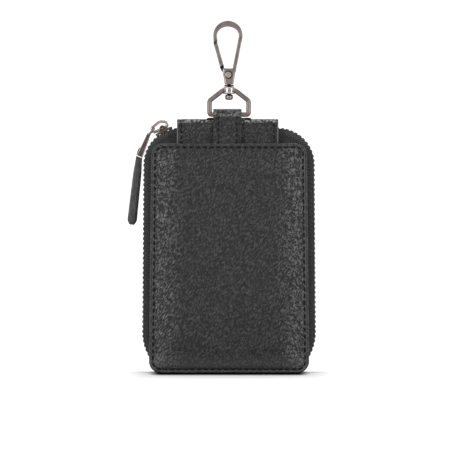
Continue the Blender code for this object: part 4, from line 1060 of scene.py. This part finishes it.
def corner_plate(near, far, half, start, end, lip=0.0, steps=22, rounded=0.22):
    """A plate bent round the zip's corner, with rounded sides and ends."""
    rings = []
    length = (end - start) * (near + far) / 2
    for i in range(steps + 1):
        share = i / steps
        tip = min(share, 1 - share) * length
        wide = half * (1 - TIP_NARROW * max(0.0, 1 - tip / TIP_LONG) ** 2)
        thin = 1 - TIP_THIN * max(0.0, 1 - tip / TIP_ROUND) ** 2
        mid, deep = (near + far) / 2, (far - near) / 2 * thin
        sharp = min(rounded, deep * 0.98)
        ring = []
        for side, drop in ((1, 0.0), (-1, lip * thin)):
            edge = [(wide - sharp + sharp * math.sin(bend),
                     mid + deep - sharp + sharp * math.cos(bend))
                    for bend in (math.pi / 8 * k for k in range(5))]
            edge += [(wide, mid - deep - drop * 0.8), (wide - 0.15, mid - deep - drop),
                     (wide - 0.4, mid - deep - drop * 0.9), (wide - 0.55, mid - deep)]
            ring += [stood(corner_spot(radius, start + (end - start) * share), side * out)
                     for out, radius in edge[::side]]
        rings.append(ring)
    return ring_skin(rings)


bridge_rings = []
bridge_foot = PLATE_OUT - BRIDGE_SUNK
for k in range(BRIDGE_STEPS + 1):
    bend = math.pi * k / BRIDGE_STEPS
    high, low = (corner_spot(bridge_foot + (top - bridge_foot) * math.sin(bend) ** BRIDGE_ARCH,
                             SLIDER_MID - reach * math.cos(bend))
                 for top, reach in ((EYE_OUT, BRIDGE_OUTER_TURN),
                                    (EYE_OUT - BRIDGE_DEEP, BRIDGE_INNER_TURN)))
    half_ring = [(high, EYE_HALF - BRIDGE_EDGE), (high.lerp(low, BRIDGE_EDGE), EYE_HALF),
                 (low.lerp(high, BRIDGE_EDGE), EYE_HALF), (low, EYE_HALF - BRIDGE_EDGE)]
    bridge_rings.append([stood(p, -y) for p, y in half_ring]
                        + [stood(p, y) for p, y in half_ring[::-1]])
slider = make_piece("zip_slider", join_shapes([
    corner_plate(PLATE_IN, PLATE_OUT, PLATE_HALF, SLIDER_RIGHT, SLIDER_LEFT, lip=PLATE_LIP),
    corner_plate(WING_IN, WING_OUT, WING_HALF, SLIDER_RIGHT, SLIDER_LEFT),
    corner_plate(WING_OUT - WEDGE_SUNK, PLATE_IN + WEDGE_SUNK, WEDGE_HALF,
                 SLIDER_MID - WEDGE_TURN, SLIDER_MID + WEDGE_TURN, steps=6, rounded=0.1),
    ring_skin(bridge_rings)]), slider_metal, "slider", smooth=40)
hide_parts("slider_body")

# Bail and link
# A bow of flattened wire through the slider's bridge, and a small closed link
# that hangs from its left corner. Both are plated.

BAIL_RIGHT, BAIL_LEFT, BAIL_WIRE, BAIL_FLAT, WIRE_BEND = 2.5, 4.3, 0.46, 1.3, 0.75
HANG_OUT, LINK_LIFT, LINK_TURN = 1.05, 1.05, math.radians(40)
LINK_WIRE, LINK_LONG, LINK_HALF = 0.42, 3.65, 1.85


def hanging(turn):
    """The ways down and to the right of a piece that hangs turned to the left."""
    return (Vector((-math.sin(turn), 0, -math.cos(turn))),
            Vector((math.cos(turn), 0, -math.sin(turn))))


tangent = Vector((-math.cos(SLIDER_MID), 0, -math.sin(SLIDER_MID)))
outward = Vector((-math.sin(SLIDER_MID), 0, math.cos(SLIDER_MID)))
eye = stood(corner_spot(EYE_AT, SLIDER_MID), 0)
bail_line = bent_line([(-BAIL_RIGHT, 0), (-BAIL_RIGHT, 1.9), (-0.7, 3.0), (0.6, 3.0),
                       (BAIL_LEFT, 2.1), (BAIL_LEFT, 0)], [WIRE_BEND] * 6)
bail_metal = plated_metal("bail_metal", (0.4, 0.345, 0.325), rough=(0.2, 0.34))
bail = make_piece("slider_bow", wire_shape([eye + tangent * p.x + outward * p.y for p in bail_line],
                                           BAIL_WIRE, flat=BAIL_FLAT), bail_metal, "bail")
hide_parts("slider_bail")

link_run, link_side = hanging(LINK_TURN)
link_top = eye + tangent * BAIL_LEFT + outward * HANG_OUT - link_run * LINK_LIFT
link_line = bent_line([(-LINK_HALF, 0), (LINK_HALF, 0), (LINK_HALF, LINK_LONG),
                       (-LINK_HALF, LINK_LONG)], [WIRE_BEND] * 4, steps=6)
link = make_piece("pull_link_wire", wire_shape(
    [link_top + Vector((0, p.x, 0)) + link_run * p.y for p in link_line], LINK_WIRE, around=12,
    level=link_side), gunmetal, "link")
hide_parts("pull_link")

# Pull clamp
# A folded metal clamp, its front and back sunk inside a raised rim. It closes
# on the leather's tongue.

CLAMP_LONG, CLAMP_HALF_TOP, CLAMP_HALF_FOOT, CLAMP_TURN = 11.2, 0.85, 1.3, math.radians(22.5)
CLAMP_AROUND, CLAMP_RIM, CLAMP_CORNER, CLAMP_CORNER_LEAST = 24, range(1, 12), 0.42, 0.12
CLAMP_PROFILE = ((0.36, -0.85), (0.34, -0.88), (0.31, -1.15), (0.26, -1.2), (0.12, -1.19),
                 (0.02, -1.1), (0.0, -0.95), (0.0, 0.95), (0.02, 1.1), (0.12, 1.19), (0.26, 1.2),
                 (0.36, 1.15), (0.4, 0.88), (0.42, 0.85))
clamp_eye = link_top + link_run * LINK_LONG
clamp_run, clamp_side = hanging(CLAMP_TURN)
clamp_metal = plated_metal("clamp_metal", (0.78, 0.7, 0.665), rough=(0.16, 0.28))
clamp_shade = plated_metal("clamp_recess_shade", (0.1, 0.08, 0.074), rough=(0.3, 0.45))


def clamp_ring(margin, depth):
    """The clamp's outline in from its rim by a margin."""
    corner = max(CLAMP_CORNER - margin * 0.8, CLAMP_CORNER_LEAST)
    top = -CLAMP_HALF_TOP + margin + corner
    foot = CLAMP_LONG - CLAMP_HALF_TOP - margin * 1.4 - corner
    ring = []
    for side, half, down, begin in ((1, CLAMP_HALF_TOP, top, -90), (1, CLAMP_HALF_FOOT, foot, 0),
                                    (-1, CLAMP_HALF_FOOT, foot, 90), (-1, CLAMP_HALF_TOP, top, 180)):
        for bend in (math.radians(begin + 18 * k) for k in range(CLAMP_AROUND // 4)):
            out = side * (half - margin - corner) + corner * math.cos(bend)
            ring.append(clamp_eye + clamp_side * out
                        + clamp_run * (down + corner * math.sin(bend)) + Vector((0, depth, 0)))
    return ring


clamp = make_piece("pull_clamp_body", ring_skin([clamp_ring(*step) for step in CLAMP_PROFILE]),
                   [clamp_metal, clamp_shade], "pull", smooth=35)
# Painted shade: the sunk front and back are coloured dark inside the bright rim.
paint_faces(clamp, 1, lambda part: part.index // CLAMP_AROUND not in CLAMP_RIM)
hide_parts("pull_clamp")

# Leather pull
# Two leaves of the same hide, back to back, thinned to a tongue in the clamp
# and tapering to a blunt tip. The back leaf hangs a little aside.

PULL_LONG, PULL_HALF, PULL_THICK, PULL_TAIL, TONGUE_THICK = 28.8, 1.7, 1.3, 4.5, 0.5
PULL_TURN, LEAF_ASIDE = math.radians(7), math.radians(-1.4)
LEAF_TAPER, TAPER_LONG, HEAD_NARROW, HEAD_LONG = 0.62, 2.0, 0.2, 4.5
LEAF_STEPS, LEAF_AROUND, LEAF_EDGE = 70, 28, (0, 13, 14, 27)
CREASE_AT, CREASE_HALF, CREASE_DEEP, LEAF_GAP, LEAF_BOW = 0.74, 0.07, 0.16, 0.15, 0.12
# The pull's hide is set lighter than the faces', a painted highlight on its rounded leaves.
pull_leather = pebbled_leather("pull_leather", (0.034, 0.034, 0.0344), (0.078, 0.078, 0.079),
                               depth=0.00012, slant=0.12, stretch=5.0, rough=(0.24, 0.4))
pull_paint = edge_paint("pull_edge_paint", (0.11, 0.108, 0.108))
pull_head = clamp_eye + clamp_run * (CLAMP_LONG - CLAMP_HALF_TOP + 0.3)
for name, side, aside, node in (("pull_front_leaf", -1, 0.0, "pull_leaf_front"),
                                ("pull_back_leaf", 1, LEAF_ASIDE, "pull_leaf_back")):
    run, across = hanging(PULL_TURN + aside)
    rings = []
    for i in range(LEAF_STEPS + 1):
        down = -PULL_TAIL + (PULL_LONG + PULL_TAIL) * i / LEAF_STEPS
        tail = max(0.0, -down / PULL_TAIL)
        tip = max(0.0, 1 - (PULL_LONG - down) / TAPER_LONG)
        half = PULL_HALF * (1 - 0.5 * tail ** 1.5) * math.sqrt(1 - 0.8 * tail ** 6)
        half *= 1 - LEAF_TAPER * tip ** 1.3 - HEAD_NARROW * math.exp(-(max(down, 0) / HEAD_LONG) ** 2)
        thick = PULL_THICK * (1 - 0.25 * tip ** 3)
        if down < 0.9:
            thicker = max(0.0, min(1, (down - 0.1) / 0.8))
            thick = TONGUE_THICK + (PULL_THICK - TONGUE_THICK) * thicker
        bow_out = LEAF_BOW * math.sin(math.pi * max(down, 0) / PULL_LONG)
        ring = []
        for t in turns(LEAF_AROUND):
            wide, rise = squared(math.cos(t), 0.55), squared(math.sin(t), 0.85)
            deep = LEAF_GAP + thick / 2 + rise * thick / 2
            if rise > 0:
                off_crease = abs(abs(wide) - CREASE_AT) / CREASE_HALF
                deep -= CREASE_DEEP * max(0.0, 1 - off_crease) * min(1, thick)
            ring.append(pull_head + run * down + across * (wide * half)
                        + Vector((0, side * (deep + (bow_out if deep > 0.5 else 0)), 0)))
        rings.append(ring)
    leaf = make_piece(name, ring_skin(rings), [pull_leather, pull_paint], "pull", smooth=60)
    paint_faces(leaf, 1, lambda part: part.index < LEAF_STEPS * LEAF_AROUND
                and part.index % LEAF_AROUND in LEAF_EDGE)
    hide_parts(node)

# Key rail
# Stamped steel rail, riveted through the rear lining. A headed pin carries each
# flat key hook, and a spring tongue closes the hook's mouth. All of it is
# nickel plated and brushed lengthwise.

brushed_steel = plated_metal("brushed_steel", (0.56, 0.56, 0.56), rough=(0.25, 0.45), scuff=0.8)
for node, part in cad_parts.items():
    if node.split("_")[0] in ("key", "rail"):
        for place in part.material_slots:
            place.material = brushed_steel
